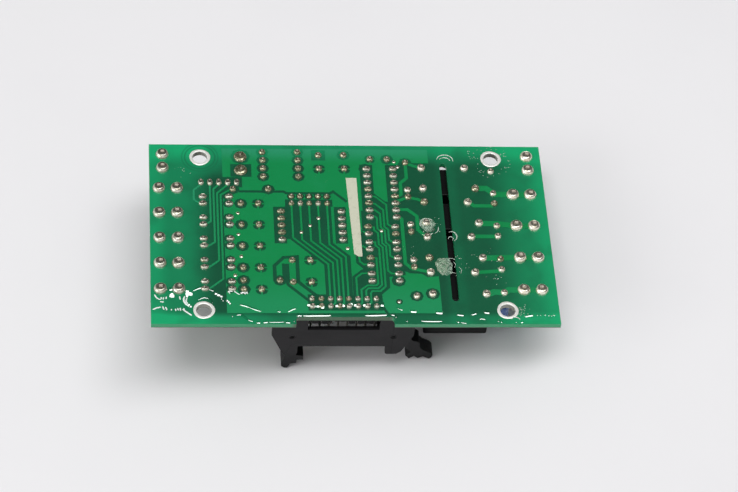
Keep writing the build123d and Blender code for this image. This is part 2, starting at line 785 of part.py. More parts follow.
def can(x, y, diameter, height):
    """Aluminium can in its sleeve: rolled groove near the board and a bevelled free end."""
    with BuildSketch(part_side) as foot:
        with Locations((x, y)):
            RegularPolygon(diameter / 2, can_sides)
    extrude(foot.sketch, amount=-groove_top)
    upper = part_side.offset(-groove_top - groove_flank)
    with BuildSketch(upper) as waist:
        with Locations((x, y)):
            RegularPolygon(diameter / 2 - groove_flank / 2, can_sides)
    loft([foot.sketch.moved(Location((0, 0, -groove_top))).face(), waist.sketch.face()])
    with BuildSketch(upper.offset(-groove_flank)) as shoulder:
        with Locations((x, y)):
            RegularPolygon(diameter / 2, can_sides)
    loft([waist.sketch.face(), shoulder.sketch.face()])
    extrude(shoulder.sketch, amount=groove_top + 2 * groove_flank + rim - height)
    with BuildSketch(part_side.offset(rim - height)) as brim:
        with Locations((x, y)):
            RegularPolygon(diameter / 2, can_sides)
    extrude(brim.sketch, amount=-rim, taper=45)


with BuildPart() as reservoir_capacitor:
    can(reservoir_x, reservoir_y, reservoir_diameter, reservoir_height)
reservoir_capacitor.part.label = "reservoir_capacitor"

with BuildPart() as smoothing_capacitor:
    can(smoothing_x, smoothing_y, smoothing_diameter, smoothing_height)
smoothing_capacitor.part.label = "smoothing_capacitor"

with BuildPart() as film_capacitor:
    with BuildSketch(part_side):
        with Locations((film_x, film_y)):
            Rectangle(film_width, film_length)
    extrude(amount=-film_height)
    chamfer(film_capacitor.faces().sort_by(Axis.Z)[0].edges(), 0.4)
film_capacitor.part.label = "film_capacitor"

with BuildPart() as ceramic_capacitors:
    with BuildSketch(part_side) as dipped:
        with Locations(*[(x + ceramic_leads / 2, y) for x, y in input_ceramics + [(bypass_x, bypass_y)]]):
            Rectangle(ceramic_length, ceramic_width)
        with Locations(*[(x + filter_leads / 2, y) for x, y in filter_origins]):
            Rectangle(ceramic_length, ceramic_width)
        chamfer(dipped.vertices(), ceramic_width * 0.3)
    extrude(amount=-ceramic_height)
ceramic_capacitors.part.label = "ceramic_capacitors"

# ---- resistor networks
network_length = grid * network_pin_count
network_middle = grid * (network_pin_count - 1) / 2
with BuildPart() as resistor_networks:
    with BuildSketch(part_side):
        with Locations((top_network_x + network_middle, top_network_y)):
            Rectangle(network_length, network_width)
        with Locations(
            (left_network_x, side_network_y - network_middle),
            (right_network_x, side_network_y - network_middle),
        ):
            Rectangle(network_width, network_length)
    extrude(amount=-network_height)
    chamfer(resistor_networks.faces().group_by(Axis.Z)[0].edges(), 0.4)
resistor_networks.part.label = "resistor_networks"

# ---- jumper header
jumper_length = grid * jumper_column_count
with BuildPart() as jumper_block:
    with BuildSketch(part_side):
        with Locations((jumper_x + grid * (jumper_column_count - 1) / 2, jumper_y - grid / 2)):
            Rectangle(jumper_length, 2 * grid)
    extrude(amount=-jumper_base)
    chamfer(jumper_block.edges().filter_by(Axis.Z), 0.5)
jumper_block.part.label = "jumper_block"

with BuildPart() as jumper_pins:
    with BuildSketch(part_side.offset(-jumper_base)):
        with Locations(*jumper_pads):
            Rectangle(pin_size, pin_size)
    extrude(amount=-jumper_pin_length)
jumper_pins.part.label = "jumper_pins"

# ---- latch header: an open box with an ear at each end that carries a latch
header_centre = board_point(header_mid_x, header_mid_y, -board_thickness)
header_front = Plane(origin=header_centre, x_dir=(1, 0, 0), z_dir=(0, -1, 0))
channel_width = header_depth - 2 * header_wall

with BuildPart() as header_housing:
    with BuildSketch(header_front):
        with BuildLine():
            Polyline(
                (0, 0),
                (ear_reach, 0),
                (ear_reach, -ear_drop),
                (ear_reach - ear_taper, -leg_drop + leg_corner),
                (leg_outer - leg_corner, -leg_drop),
                (leg_inner, -leg_drop),
                (leg_inner, -wall_drop),
                (0, -wall_drop),
                close=True,
            )
        make_face()
        mirror(about=Plane.YZ)
    extrude(amount=header_depth / 2, both=True)
    # channel for the socket and the latches, open below and at both ends
    with BuildSketch(part_side.offset(-header_floor)):
        with Locations((header_mid_x, header_mid_y)):
            Rectangle(2 * ear_reach, channel_width)
    extrude(amount=-leg_drop, mode=Mode.SUBTRACT)
    # window through the front wall beside the board
    with BuildSketch(header_front.offset(channel_width / 2)):
        with Locations((0, -(window_top + window_drop) / 2)):
            Rectangle(2 * window_half, window_drop - window_top)
    extrude(amount=header_wall, mode=Mode.SUBTRACT)
    # keyway in the back wall
    with BuildSketch(header_front.offset(-header_depth / 2)):
        with Locations((0, -(key_drop + wall_drop) / 2)):
            Rectangle(key_width, wall_drop - key_drop)
    extrude(amount=header_wall, mode=Mode.SUBTRACT)
    # pivot holes through both ears
    with BuildSketch(header_front.offset(header_depth / 2)):
        with Locations((pivot_reach, -pivot_drop), (-pivot_reach, -pivot_drop)):
            Circle(pivot_diameter / 2 + pivot_clearance)
    extrude(amount=-header_depth, mode=Mode.SUBTRACT)
    leg_edges = header_housing.edges().filter_by(Axis.Y).group_by(Axis.Z)[0]
    fillet(leg_edges, 0.6)
header_housing.part.label = "header_housing"

with BuildPart() as header_contacts:
    with BuildSketch(part_side.offset(-header_floor)):
        with Locations(*header_pads):
            Rectangle(pin_size, pin_size)
    extrude(amount=-contact_length)
header_contacts.part.label = "header_contacts"


def latch(pivot):
    """Ejector latch about its pivot: head and lifting foot above, hook and finger grip below."""
    frontward = pivot.z_dir.dot(Vector(0, -1, 0))
    with BuildSketch(pivot.offset(-latch_offset * frontward)) as side:
        with BuildLine() as outline:
            Polyline(
                (-latch_back, latch_head),
                (latch_foot - 0.6, latch_head - 0.5),
                (latch_foot, latch_head - 1.2),
                (latch_foot, latch_head - 2.0),
                (latch_front, latch_head - 2.9),
                (latch_front, 0.3 - hook_top),
                (hook_reach - 0.1, -hook_top),
                (hook_reach, -hook_bottom),
                (latch_front + 0.4, -hook_bottom - 0.1),
                (latch_front + 0.2, -hook_bottom - 1.5),
                (0.4, -hook_bottom - 1.9),
                (tip_width - latch_back + 0.5, -latch_tip),
                (-latch_back + 0.5, -latch_tip),
                (-latch_back - 0.4, -latch_tip + 0.7),
                (-latch_back - 0.5, -latch_tip + 2.0),
                (grip_scoop - grip_flare - latch_back, -hook_bottom + 0.5),
                (grip_scoop - grip_flare - latch_back, -hook_top + 0.3),
                (-latch_back - grip_flare, -grip_top - 0.8),
                (-latch_back - grip_flare, -grip_top),
                (-latch_back, -grip_top + 1.4),
                close=True,
            )
        make_face(outline.line)
    extrude(side.sketch, amount=latch_width / 2, both=True)
    with BuildSketch(pivot) as stub:
        Circle(pivot_diameter / 2)
    extrude(stub.sketch, amount=header_depth / 2 - 0.1, both=True)


left_pivot = Plane(
    origin=board_point(header_mid_x - pivot_reach, header_mid_y, -board_thickness - pivot_drop),
    x_dir=(1, 0, 0),
    z_dir=(0, -1, 0),
)
swing = radians(latch_open)
right_pivot = Plane(
    origin=board_point(header_mid_x + pivot_reach, header_mid_y, -board_thickness - pivot_drop),
    x_dir=(-cos(swing), 0, -sin(swing)),
    z_dir=(0, 1, 0),
)

with BuildPart() as latch_left:
    latch(left_pivot)
latch_left.part.label = "latch_left"

with BuildPart() as latch_right:
    latch(right_pivot)
latch_right.part.label = "latch_right"

# ---- export
os.makedirs("parts", exist_ok=True)
export_step(laminate.part, "parts/laminate.step")
export_step(hole_rings.part, "parts/hole_rings.step")
export_step(copper_pour.part, "parts/copper_pour.step")
export_step(signal_tracks.part, "parts/signal_tracks.step")
export_step(power_tracks.part, "parts/power_tracks.step")
export_step(input_tab_solder.part, "parts/input_tab_solder.step")
export_step(output_tab_solder.part, "parts/output_tab_solder.step")
export_step(relay_solder.part, "parts/relay_solder.step")
export_step(varistor_solder.part, "parts/varistor_solder.step")
export_step(diode_solder.part, "parts/diode_solder.step")
export_step(input_coupler_solder.part, "parts/input_coupler_solder.step")
export_step(output_coupler_solder.part, "parts/output_coupler_solder.step")
export_step(driver_solder.part, "parts/driver_solder.step")
export_step(network_solder.part, "parts/network_solder.step")
export_step(jumper_solder.part, "parts/jumper_solder.step")
export_step(header_solder.part, "parts/header_solder.step")
export_step(capacitor_solder.part, "parts/capacitor_solder.step")
export_step(resistor_solder.part, "parts/resistor_solder.step")
export_step(via_domes.part, "parts/via_domes.step")
export_step(marking_strip.part, "parts/marking_strip.step")
export_step(glue_residue.part, "parts/glue_residue.step")
export_step(flux_residue.part, "parts/flux_residue.step")
export_step(relays.part, "parts/relays.step")
export_step(varistors.part, "parts/varistors.step")
export_step(flyback_diodes.part, "parts/flyback_diodes.step")
export_step(flyback_wires.part, "parts/flyback_wires.step")
export_step(rectifier_diodes.part, "parts/rectifier_diodes.step")
export_step(rectifier_wires.part, "parts/rectifier_wires.step")
export_step(axial_resistors.part, "parts/axial_resistors.step")
export_step(resistor_wires.part, "parts/resistor_wires.step")
export_step(input_blades.part, "parts/input_blades.step")
export_step(output_blades.part, "parts/output_blades.step")
export_step(input_couplers.part, "parts/input_couplers.step")
export_step(output_couplers.part, "parts/output_couplers.step")
export_step(driver_chip.part, "parts/driver_chip.step")
export_step(coupler_leads.part, "parts/coupler_leads.step")
export_step(driver_leads.part, "parts/driver_leads.step")
export_step(reservoir_capacitor.part, "parts/reservoir_capacitor.step")
export_step(smoothing_capacitor.part, "parts/smoothing_capacitor.step")
export_step(film_capacitor.part, "parts/film_capacitor.step")
export_step(ceramic_capacitors.part, "parts/ceramic_capacitors.step")
export_step(resistor_networks.part, "parts/resistor_networks.step")
export_step(jumper_block.part, "parts/jumper_block.step")
export_step(jumper_pins.part, "parts/jumper_pins.step")
export_step(header_housing.part, "parts/header_housing.step")
export_step(header_contacts.part, "parts/header_contacts.step")
export_step(latch_left.part, "parts/latch_left.step")
export_step(latch_right.part, "parts/latch_right.step")
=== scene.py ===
from math import atan2, cos, pi, radians, sin, sqrt
from random import Random

import bmesh
import bpy
from mathutils import Matrix, Vector


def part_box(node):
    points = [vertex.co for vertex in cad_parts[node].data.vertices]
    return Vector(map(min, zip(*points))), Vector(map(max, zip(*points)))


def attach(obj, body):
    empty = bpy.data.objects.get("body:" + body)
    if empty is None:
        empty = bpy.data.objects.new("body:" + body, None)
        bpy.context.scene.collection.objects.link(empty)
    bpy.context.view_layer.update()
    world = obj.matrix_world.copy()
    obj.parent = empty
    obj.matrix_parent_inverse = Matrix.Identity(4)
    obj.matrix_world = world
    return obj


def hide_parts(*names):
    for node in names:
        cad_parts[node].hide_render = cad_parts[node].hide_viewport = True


bl_info = {
    "name": "Relay Interface Board",
    "version": (1, 0, 0),
    "blender": (4, 5, 0),
    "location": "View3D > Sidebar > Relay board",
    "description": "Dresses the packed relay interface board: solder, mask, coating and components",
    "category": "Object",
}

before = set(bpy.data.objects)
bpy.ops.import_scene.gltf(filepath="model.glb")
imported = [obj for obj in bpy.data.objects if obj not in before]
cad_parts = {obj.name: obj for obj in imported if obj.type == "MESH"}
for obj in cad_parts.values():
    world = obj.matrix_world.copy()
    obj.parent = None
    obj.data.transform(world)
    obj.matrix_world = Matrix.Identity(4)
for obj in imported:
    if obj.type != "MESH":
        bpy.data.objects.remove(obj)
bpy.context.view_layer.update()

MM = 0.001
PREFIX = "relay_board"

# Places on the board in millimetres, from the centre of the mounting holes
BACK_LEFT_HOLE = (-42.0, 27.5)
SLOT_X = 28.6
NOTCH = (-17.0, 9.0)  # its two ends along X
POUR = (-33.4, 26.0)  # ends of the copper pour along X
POUR_FRONT = -28.5
HEADER_GATE_X = 10.7
NETWORK_ROW = (-30.0, 15.0)  # the resistor network at the back left is beyond these
MIDDLE = (-33.0, -9.0)  # stretch of the board where most joints carry old flux


def srgb(red, green, blue):
    """Screen values from 0 to 255 as a linear colour."""
    def linear(value):
        value /= 255
        return value / 12.92 if value <= 0.04045 else ((value + 0.055) / 1.055) ** 2.4
    return (linear(red), linear(green), linear(blue))


# ---- shader maths
class Value:
    """A number that changes over a surface, for use in Python expressions."""

    def __init__(self, finish, socket):
        self.finish = finish
        self.socket = socket

    def math(self, operation, *others):
        sockets = dict(enumerate((self, *others)))
        return self.finish.value("ShaderNodeMath", {"operation": operation}, sockets)

    def __add__(self, other):
        return self.math("ADD", other)

    __radd__ = __add__

    def __sub__(self, other):
        return self.math("SUBTRACT", other)

    def __rsub__(self, other):
        return self.finish.value("ShaderNodeMath", {"operation": "SUBTRACT"}, {0: other, 1: self})

    def __mul__(self, other):
        return self.math("MULTIPLY", other)

    __rmul__ = __mul__

    def __pow__(self, other):
        return self.math("POWER", other)

    def __abs__(self):
        return self.math("ABSOLUTE")

    def between(self, low, high):
        """0 below low, 1 above high, and smooth between them."""
        settings = {"interpolation_type": "SMOOTHSTEP"}
        sockets = {"Value": self, "From Min": low, "From Max": high}
        return self.finish.value("ShaderNodeMapRange", settings, sockets)

    def until(self, low, high):
        """1 below low, 0 above high, and smooth between them."""
        return 1 - self.between(low, high)

    def least(self, other):
        return self.math("MINIMUM", other)

    def most(self, other):
        return self.math("MAXIMUM", other)


class Graph:
    """The nodes of a material or of the world."""

    def __init__(self, owner):
        owner.use_nodes = True
        self.tree = owner.node_tree
        self.tree.nodes.clear()

    def node(self, kind, settings=None, sockets=None):
        made = self.tree.nodes.new(kind)
        for key, value in (settings or {}).items():
            setattr(made, key, value)
        for key, value in (sockets or {}).items():
            if isinstance(value, Value):
                value = value.socket
            if isinstance(value, bpy.types.NodeSocket):
                self.tree.links.new(value, made.inputs[key])
            elif isinstance(value, tuple) and made.inputs[key].type == "RGBA":
                made.inputs[key].default_value = (*value[:3], 1)
            else:
                made.inputs[key].default_value = value
        return made

    def value(self, kind, settings=None, sockets=None):
        return Value(self, self.node(kind, settings, sockets).outputs[0])

    def parts(self, vector):
        split = self.node("ShaderNodeSeparateXYZ", sockets={0: vector})
        return [Value(self, split.outputs[n]) for n in range(3)]

    def mix(self, first, second, share):
        settings = {"data_type": "RGBA"}
        made = self.node("ShaderNodeMix", settings, {0: share, 6: first, 7: second})
        return made.outputs[2]


class Finish(Graph):
    """One material, whose place is given in millimetres."""

    def __init__(self, name):
        self.material = bpy.data.materials.new(name)
        super().__init__(self.material)
        found = self.node("ShaderNodeTexCoord")
        scaled = self.node(
            "ShaderNodeVectorMath", {"operation": "SCALE"}, {0: found.outputs["Object"], "Scale": 1 / MM}
        )
        self.place = scaled.outputs[0]
        self.x, self.y, self.z = self.parts(self.place)

    def noise(self, size, detail=2.0, roughness=0.5, place=None, warp=0.0):
        """Cloudy noise whose features are about size millimetres."""
        sockets = {
            "Vector": place or self.place,
            "Scale": 1 / size,
            "Detail": detail,
            "Roughness": roughness,
            "Distortion": warp,
        }
        return self.value("ShaderNodeTexNoise", {}, sockets)

    def cells(self, size, feature):
        settings = {"feature": feature}
        return self.value("ShaderNodeTexVoronoi", settings, {"Vector": self.place, "Scale": 1 / size})

    def stretched(self, x, y, z):
        """The place, stretched along each axis, for grain with a direction."""
        scaled = self.node(
            "ShaderNodeVectorMath", {"operation": "MULTIPLY"}, {0: self.place, 1: (1 / x, 1 / y, 1 / z)}
        )
        return scaled.outputs[0]

    def facing(self, axis):
        """How far the surface faces along an axis, 0 to 1 either way."""
        found = self.node("ShaderNodeNewGeometry")
        return self.parts(found.outputs["Normal"])["XYZ".index(axis)]

    def surface(self, colour, bump, bump_height, **sockets):
        """Ends the material. Sockets are the shader's own, with underscores for spaces."""
        values = {"Base Color": colour}
        values.update({key.replace("_", " "): value for key, value in sockets.items()})
        relief = self.node(
            "ShaderNodeBump", {}, {"Strength": 1.0, "Distance": bump_height * MM, "Height": bump}
        )
        values["Normal"] = relief.outputs[0]
        shader = self.node("ShaderNodeBsdfPrincipled", {}, values)
        self.node("ShaderNodeOutputMaterial", {}, {"Surface": shader.outputs[0]})
        return self.material


def away(across, along):
    """Distance from an axis, from two offsets at right angles."""
    return (across * across + along * along) ** 0.5


finishes = {}


def finish(maker):
    """The material that a maker function builds, made once."""
    if maker.__name__ not in finishes:
        finishes[maker.__name__] = maker(Finish(maker.__name__))
    return finishes[maker.__name__]


def sizes():
    return bpy.context.scene.relay_board_sizes


def colours():
    return bpy.context.scene.relay_board_colours


# ---- finishes
def edge_gain(f):
    """Painted light: how much light the bare laminate seems to pass, most near the board's edges."""
    wide, deep = sizes().board_width / MM / 2, sizes().board_depth / MM / 2
    from_left, from_right = f.x + wide, wide - f.x
    from_back, from_front = deep - f.y, f.y + deep
    left = from_left.until(9, 19) * 0.46 + from_left.until(1, 6) * 0.26
    right = from_right.until(5, 19) * 0.46 + from_right.until(0.5, 6) * 0.3
    back = from_back.until(0.5, 8.5) * 0.66
    rim = from_front.until(1.8, 4.5)
    ends = from_left.until(6, 60) * 0.55 + from_right.until(8, 42) * 0.34
    front = rim * (0.15 + ends)
    corner = from_left.until(17, 26) * from_back.until(7, 14) * from_left.between(9, 16) * 0.42
    slot = abs(f.x - SLOT_X).until(1.3, 4.0) * 0.1
    return (left + right + back + front + corner + slot + f.x.between(24, 34) * 0.05).least(1.0)


def washer_mark(f):
    """Two faint rings that a washer left round the back-left hole."""
    reach = away(f.x - BACK_LEFT_HOLE[0], f.y - BACK_LEFT_HOLE[1])
    inner = reach.between(4.0, 4.25) * reach.until(4.4, 4.65)
    outer = reach.between(4.85, 5.1) * reach.until(5.2, 5.6)
    return inner + outer * 0.7


def laminate_colour(f):
    """Green mask over bare laminate: dark inside, with painted light near the edges, and a washer's mark."""
    cloud = f.noise(9.0, 3.0)
    fine = f.noise(0.5, 2.0)
    # painted light: the mask is mixed towards its lit colour near the edges, the back-left corner and the
    # slot
    deep = f.mix(tuple(colours().laminate), tuple(colours().laminate_light), edge_gain(f))
    varied = f.mix(deep, srgb(10, 64, 44), cloud.between(0.48, 0.75) * 0.3)
    varied = f.mix(varied, srgb(8, 96, 64), washer_mark(f) * 0.55)
    return f.mix(varied, srgb(34, 124, 84), fine.between(0.5, 0.8) * 0.14)


def copper_colour(f):
    """Green mask over copper, with painted light that makes it paler near the back, front and left edges."""
    cloud = f.noise(7.0, 3.0)
    fine = f.noise(0.45, 2.0)
    # painted light: the back, front and left bands are mixed towards the lit colour
    back = f.y.between(25, 31)
    front = (0 - f.y).between(14, 27) * 0.4
    left = f.x.until(-46, -32) * 0.9
    share = back.most(front).most(left).most(cloud.between(0.5, 0.8) * 0.25)
    colour = f.mix(tuple(colours().copper), tuple(colours().copper_light), share)
    return f.mix(colour, srgb(8, 112, 58), fine.between(0.55, 0.8) * 0.22)


def mask_over_laminate(f):
    """Mask with a faint weave on top; on the board's flanks, bright green glass fibre, darker olive at the
    notch and along the flank's foot.
    """
    fine = f.noise(0.5, 2.0)
    weave = f.value("ShaderNodeTexWave", {"bands_direction": "X"}, {"Vector": f.place, "Scale": 0.55})
    cross = f.value("ShaderNodeTexWave", {"bands_direction": "Y"}, {"Vector": f.place, "Scale": 0.55})
    cloth = (weave + cross) * 0.5
    flank = abs(f.facing("Z")).until(0.5, 0.8)
    notch = f.x.between(NOTCH[0] - 1.5, NOTCH[0]) * f.x.until(NOTCH[1], NOTCH[1] + 1.5)
    notch = notch * f.y.until(-20, -10)
    fibres = f.noise(0.25, 3.0, place=f.stretched(4, 4, 0.4))
    glass = f.mix(srgb(12, 148, 92), srgb(44, 164, 112), fibres)
    cut = f.mix(srgb(38, 64, 40), srgb(68, 88, 54), fibres)
    under = f.z.between(-1.55, -1.15)
    flank_colour = f.mix(f.mix(cut, glass, under), cut, notch * 0.92)
    colour = f.mix(laminate_colour(f), flank_colour, flank * 0.85)
    bump = cloth * 0.12 + f.noise(2.6, 1.0) * 1.2 + fine * 0.05
    return f.surface(
        colour, bump, 0.03, Roughness=0.3 + fine * 0.12, Coat_Weight=0.35, Coat_Roughness=0.12
    )


def mask_over_copper(f):
    """Smooth mask over the copper artwork."""
    fine = f.noise(0.45, 2.0)
    bump = f.noise(2.6, 1.0) * 1.2 + fine * 0.06
    return f.surface(
        copper_colour(f), bump, 0.03, Roughness=0.28 + fine * 0.12, Coat_Weight=0.35, Coat_Roughness=0.12
    )


def solder(f, light=(252, 246, 232), shade=(232, 222, 198)):
    """Tin-lead solder: a bright skin with thin yellow flux in places, and painted shade on its flat tops."""
    patch = f.noise(0.8, 3.0)
    fine = f.noise(0.18, 2.0)
    metal = f.mix(srgb(*light), srgb(*shade), patch.between(0.35, 0.7))
    colour = f.mix(metal, srgb(150, 138, 100), patch.between(0.6, 0.72) * 0.4)
    # painted shade: faces that look straight up are mixed towards dark olive grey, darkening the joints' flat
    # tops
    top = abs(f.facing("Z")).between(0.88, 0.97)
    colour = f.mix(colour, srgb(104, 112, 90), top * 0.6)
    bump = patch * 1.0 + fine * 0.3
    return f.surface(
        colour, bump, 0.07, Metallic=0.88 - patch.between(0.6, 0.72) * 0.3, Roughness=0.24 + patch * 0.16,
        Coat_Weight=0.3, Coat_Roughness=0.1,
    )


def dull_solder(f):
    """Solder dulled by the coating over it."""
    return solder(f, (216, 215, 202), (188, 184, 162))


def fluxed_solder(f):
    """Solder under a brown-green skin of old flux and coating."""
    patch = f.noise(0.55, 3.0)
    fine = f.noise(0.16, 2.0)
    metal = f.mix(srgb(206, 200, 170), srgb(118, 122, 90), patch.between(0.35, 0.62))
    foot = f.z.until(0.04, 0.3)
    colour = f.mix(metal, srgb(34, 66, 44), foot * 0.75)
    bump = patch * 1.0 + fine * 0.3
    return f.surface(
        colour, bump, 0.07, Metallic=0.8 - foot * 0.5, Roughness=0.2 + patch * 0.2,
        Coat_Weight=0.5, Coat_Roughness=0.08,
    )


def lead_end(f):
    """Cut end of a lead standing in its joint, dulled by flux."""
    patch = f.noise(0.35, 3.0)
    colour = f.mix(srgb(126, 112, 96), srgb(204, 190, 176), patch.between(0.3, 0.55))
    return f.surface(
        colour, patch, 0.05, Roughness=0.42 + patch * 0.2, Coat_Weight=0.2, Coat_Roughness=0.15
    )


def tinned_ring(f):
    """Bright tin round a mounting hole, with painted shade down its wall."""
    patch = f.noise(0.8, 3.0)
    colour = f.mix(srgb(250, 249, 244), srgb(214, 212, 202), patch.between(0.5, 0.8))
    # painted shade: the tin is mixed to dull grey below the top of the hole's wall
    colour = f.mix(srgb(150, 152, 142), colour, f.z.between(-0.3, 0.0))
    return f.surface(
        colour, patch, 0.04, Metallic=0.3, Roughness=0.3 + patch * 0.25, Coat_Weight=0.3, Coat_Roughness=0.1
    )


def coating(f):
    """Clear coat piled over the mask: it takes the colour of what it covers."""
    pour = f.x.between(POUR[0] - 0.1, POUR[0] + 0.1) * f.x.until(POUR[1] - 0.1, POUR[1] + 0.1)
    pour = pour * f.y.between(POUR_FRONT - 0.1, POUR_FRONT + 0.1)
    # the colours mixed here carry the painted edge light of the mask beneath
    colour = f.mix(laminate_colour(f), copper_colour(f), pour)
    return f.surface(
        colour, f.noise(1.2, 1.0), 0.02, Roughness=0.1, Coat_Weight=1.0, Coat_Roughness=0.03, Coat_IOR=3.2
    )


def marking(f):
    """Cream print of the marking strip, worn in patches."""
    patch = f.noise(1.6, 4.0)
    colour = f.mix(srgb(206, 208, 186), srgb(168, 172, 146), patch.between(0.5, 0.85) * 0.6)
    return f.surface(
        colour, f.noise(0.2, 2.0), 0.01, Roughness=0.5 + patch * 0.2, Coat_Weight=0.35, Coat_Roughness=0.12
    )


def residue(f):
    """Dried flux and glue: pale and crazed, green where it is thin."""
    patch = f.noise(0.7, 4.0, 0.65)
    crack = f.cells(0.45, "DISTANCE_TO_EDGE").between(0.0, 0.12)
    colour = f.mix(srgb(196, 212, 190), srgb(96, 150, 112), patch.between(0.36, 0.66))
    colour = f.mix(srgb(60, 122, 84), colour, crack * 0.7 + 0.3)
    relief = f.noise(0.25, 3.0) + crack * 0.8
    cover = f.noise(0.5, 3.0, 0.6).between(0.3, 0.5) * 0.5 + 0.5
    return f.surface(
        colour, relief, 0.12, Roughness=0.42 + patch * 0.25, Coat_Weight=0.3, Coat_Roughness=0.2, Alpha=cover
    )


def thin_residue(f):
    """Whitish dried film, broken up so that the mask shows through."""
    patch = f.noise(0.5, 4.0, 0.65)
    colour = f.mix(srgb(206, 222, 206), srgb(120, 168, 136), patch)
    cover = f.noise(0.34, 4.0, 0.7, warp=1.2).between(0.44, 0.6) * 0.85
    return f.surface(
        colour, patch, 0.08, Roughness=0.4 + patch * 0.25, Coat_Weight=0.4, Coat_Roughness=0.1, Alpha=cover
    )


def dried_line(f):
    """Pale rim that a drop of flux left as it dried."""
    patch = f.noise(0.4, 3.0)
    colour = f.mix(srgb(232, 240, 230), srgb(150, 190, 166), patch.between(0.45, 0.7))
    cover = f.noise(0.6, 3.0).between(0.3, 0.55) * 0.5 + 0.4
    return f.surface(
        colour, patch, 0.04, Roughness=0.3 + patch * 0.2, Coat_Weight=0.6, Coat_Roughness=0.06, Alpha=cover
    )


def white_edge(f):
    """Painted highlight: a near-white colour on ridges of coating that stands in for glare off their edges.
    """
    patch = f.noise(0.5, 3.0)
    colour = f.mix(srgb(246, 250, 248), srgb(196, 222, 210), patch.between(0.5, 0.75))
    return f.surface(colour, patch, 0.04, Roughness=0.22 + patch * 0.2, Coat_Weight=0.7, Coat_Roughness=0.05)


def tinned_brass(f):
    """Tin on rolled brass: grain along the blade, with the brass showing through."""
    grain = f.noise(0.35, 3.0, place=f.stretched(1, 1, 9))
    tint = f.noise(2.5, 3.0)
    colour = f.mix(srgb(216, 210, 196), srgb(184, 168, 132), tint.between(0.45, 0.8) * 0.7)
    return f.surface(colour, grain, 0.008, Metallic=0.95, Roughness=0.24 + grain * 0.18)


def two_tone(name, first, second, cloud, height, rough, vary, grain=None, **rest):
    """Makes the maker of a finish in two tones.

    Cloud is the size and detail of the noise between the tones. Grain is that of the bump where it differs.
    Roughness starts at rough and varies with the bump.
    """
    def made(f):
        tone = f.noise(*cloud)
        relief = f.noise(*grain) if grain else tone
        colour = f.mix(srgb(*first), srgb(*second), tone)
        return f.surface(colour, relief, height, Roughness=rough + relief * vary, **rest)
    made.__name__ = name
    return made


def band(name, *tone):
    """Makes the maker of one colour band of a resistor."""
    return two_tone(name, tone, [shade * 0.8 for shade in tone], (0.5, 2.0), 0.02, 0.32, 0.1)


relay_case = two_tone(
    "relay_case", (9, 9, 10), (15, 15, 17), (5.0, 3.0), 0.02, 0.38, 0.16, (0.16, 2.0), Specular_IOR_Level=0.2
)
film_case = two_tone(
    "film_case", (150, 36, 30), (170, 48, 38), (2.0, 2.0), 0.012, 0.3, 0.14, (0.18, 2.0)
)
varistor_coat = two_tone(
    "varistor_coat", (42, 78, 150), (58, 98, 170), (1.8, 2.0), 0.12, 0.2, 0.12,
    Coat_Weight=0.5, Coat_Roughness=0.08,
)
resistor_coat = two_tone(
    "resistor_coat", (204, 180, 140), (186, 158, 118), (0.9, 2.0), 0.04, 0.3, 0.12,
    Coat_Weight=0.25, Coat_Roughness=0.12,
)
ceramic_coat = two_tone(
    "ceramic_coat", (206, 150, 50), (188, 128, 38), (1.1, 2.0), 0.08, 0.24, 0.12,
    Coat_Weight=0.35, Coat_Roughness=0.1,
)
network_coat = two_tone(
    "network_coat", (40, 40, 44), (54, 54, 58), (1.4, 2.0), 0.06, 0.26, 0.14,
    Coat_Weight=0.25, Coat_Roughness=0.12,
)
tinned_wire = two_tone(
    "tinned_wire", (214, 212, 206), (168, 165, 156), (0.3, 3.0), 0.01, 0.22, 0.2, Metallic=0.95
)
bare_aluminium = two_tone(
    "bare_aluminium", (214, 216, 218), (180, 182, 186), (0.25, 3.0), 0.015, 0.28, 0.2, Metallic=0.95
)
pale_mark = two_tone("pale_mark", (206, 206, 200), (170, 170, 164), (0.4, 3.0), 0.01, 0.5, 0.1)
can_stripe = two_tone("can_stripe", (176, 182, 196), (156, 162, 178), (0.8, 2.0), 0.01, 0.34, 0.1)
band_brown = band("band_brown", 92, 52, 30)
band_black = band("band_black", 34, 32, 32)
band_red = band("band_red", 168, 40, 34)
band_gold = band("band_gold", 176, 138, 62)


def black_epoxy(f):
    """Moulded epoxy of chips and diodes."""
    grain = f.noise(0.1, 2.0)
    colour = f.mix(srgb(34, 34, 37), srgb(52, 52, 55), f.noise(1.2, 3.0) * 0.7)
    return f.surface(colour, grain, 0.012, Roughness=0.5 + grain * 0.2)


def can_sleeve(f):
    """Dark blue shrink sleeve of a can capacitor."""
    shade = f.noise(4.0, 2.0)
    colour = f.mix(srgb(28, 32, 58), srgb(38, 44, 74), shade)
    return f.surface(
        colour, f.noise(0.5, 2.0), 0.01, Roughness=0.28 + shade * 0.1, Coat_Weight=0.2, Coat_Roughness=0.15
    )


def black_plastic(f):
    """Glass-filled moulding: satin, with fine flow marks and a faint parting line."""
    grain = f.noise(0.14, 3.0)
    flow = f.noise(2.2, 3.0, place=f.stretched(3, 1, 1))
    colour = f.mix(srgb(24, 24, 25), srgb(36, 35, 37), flow)
    parting = abs(f.x - HEADER_GATE_X).until(0.04, 0.16) * f.z.until(-2.2, -2.0)
    colour = f.mix(colour, srgb(8, 8, 9), parting * 0.8)
    return f.surface(
        colour, grain - parting * 2.0, 0.02, Roughness=0.46 + grain * 0.16, Specular_IOR_Level=0.2
    )


# Millimetres from the middle of the ribbon header to each latch pivot, and from its top down to them
PIVOT_REACH = 14.1
PIVOT_DROP = 8.2


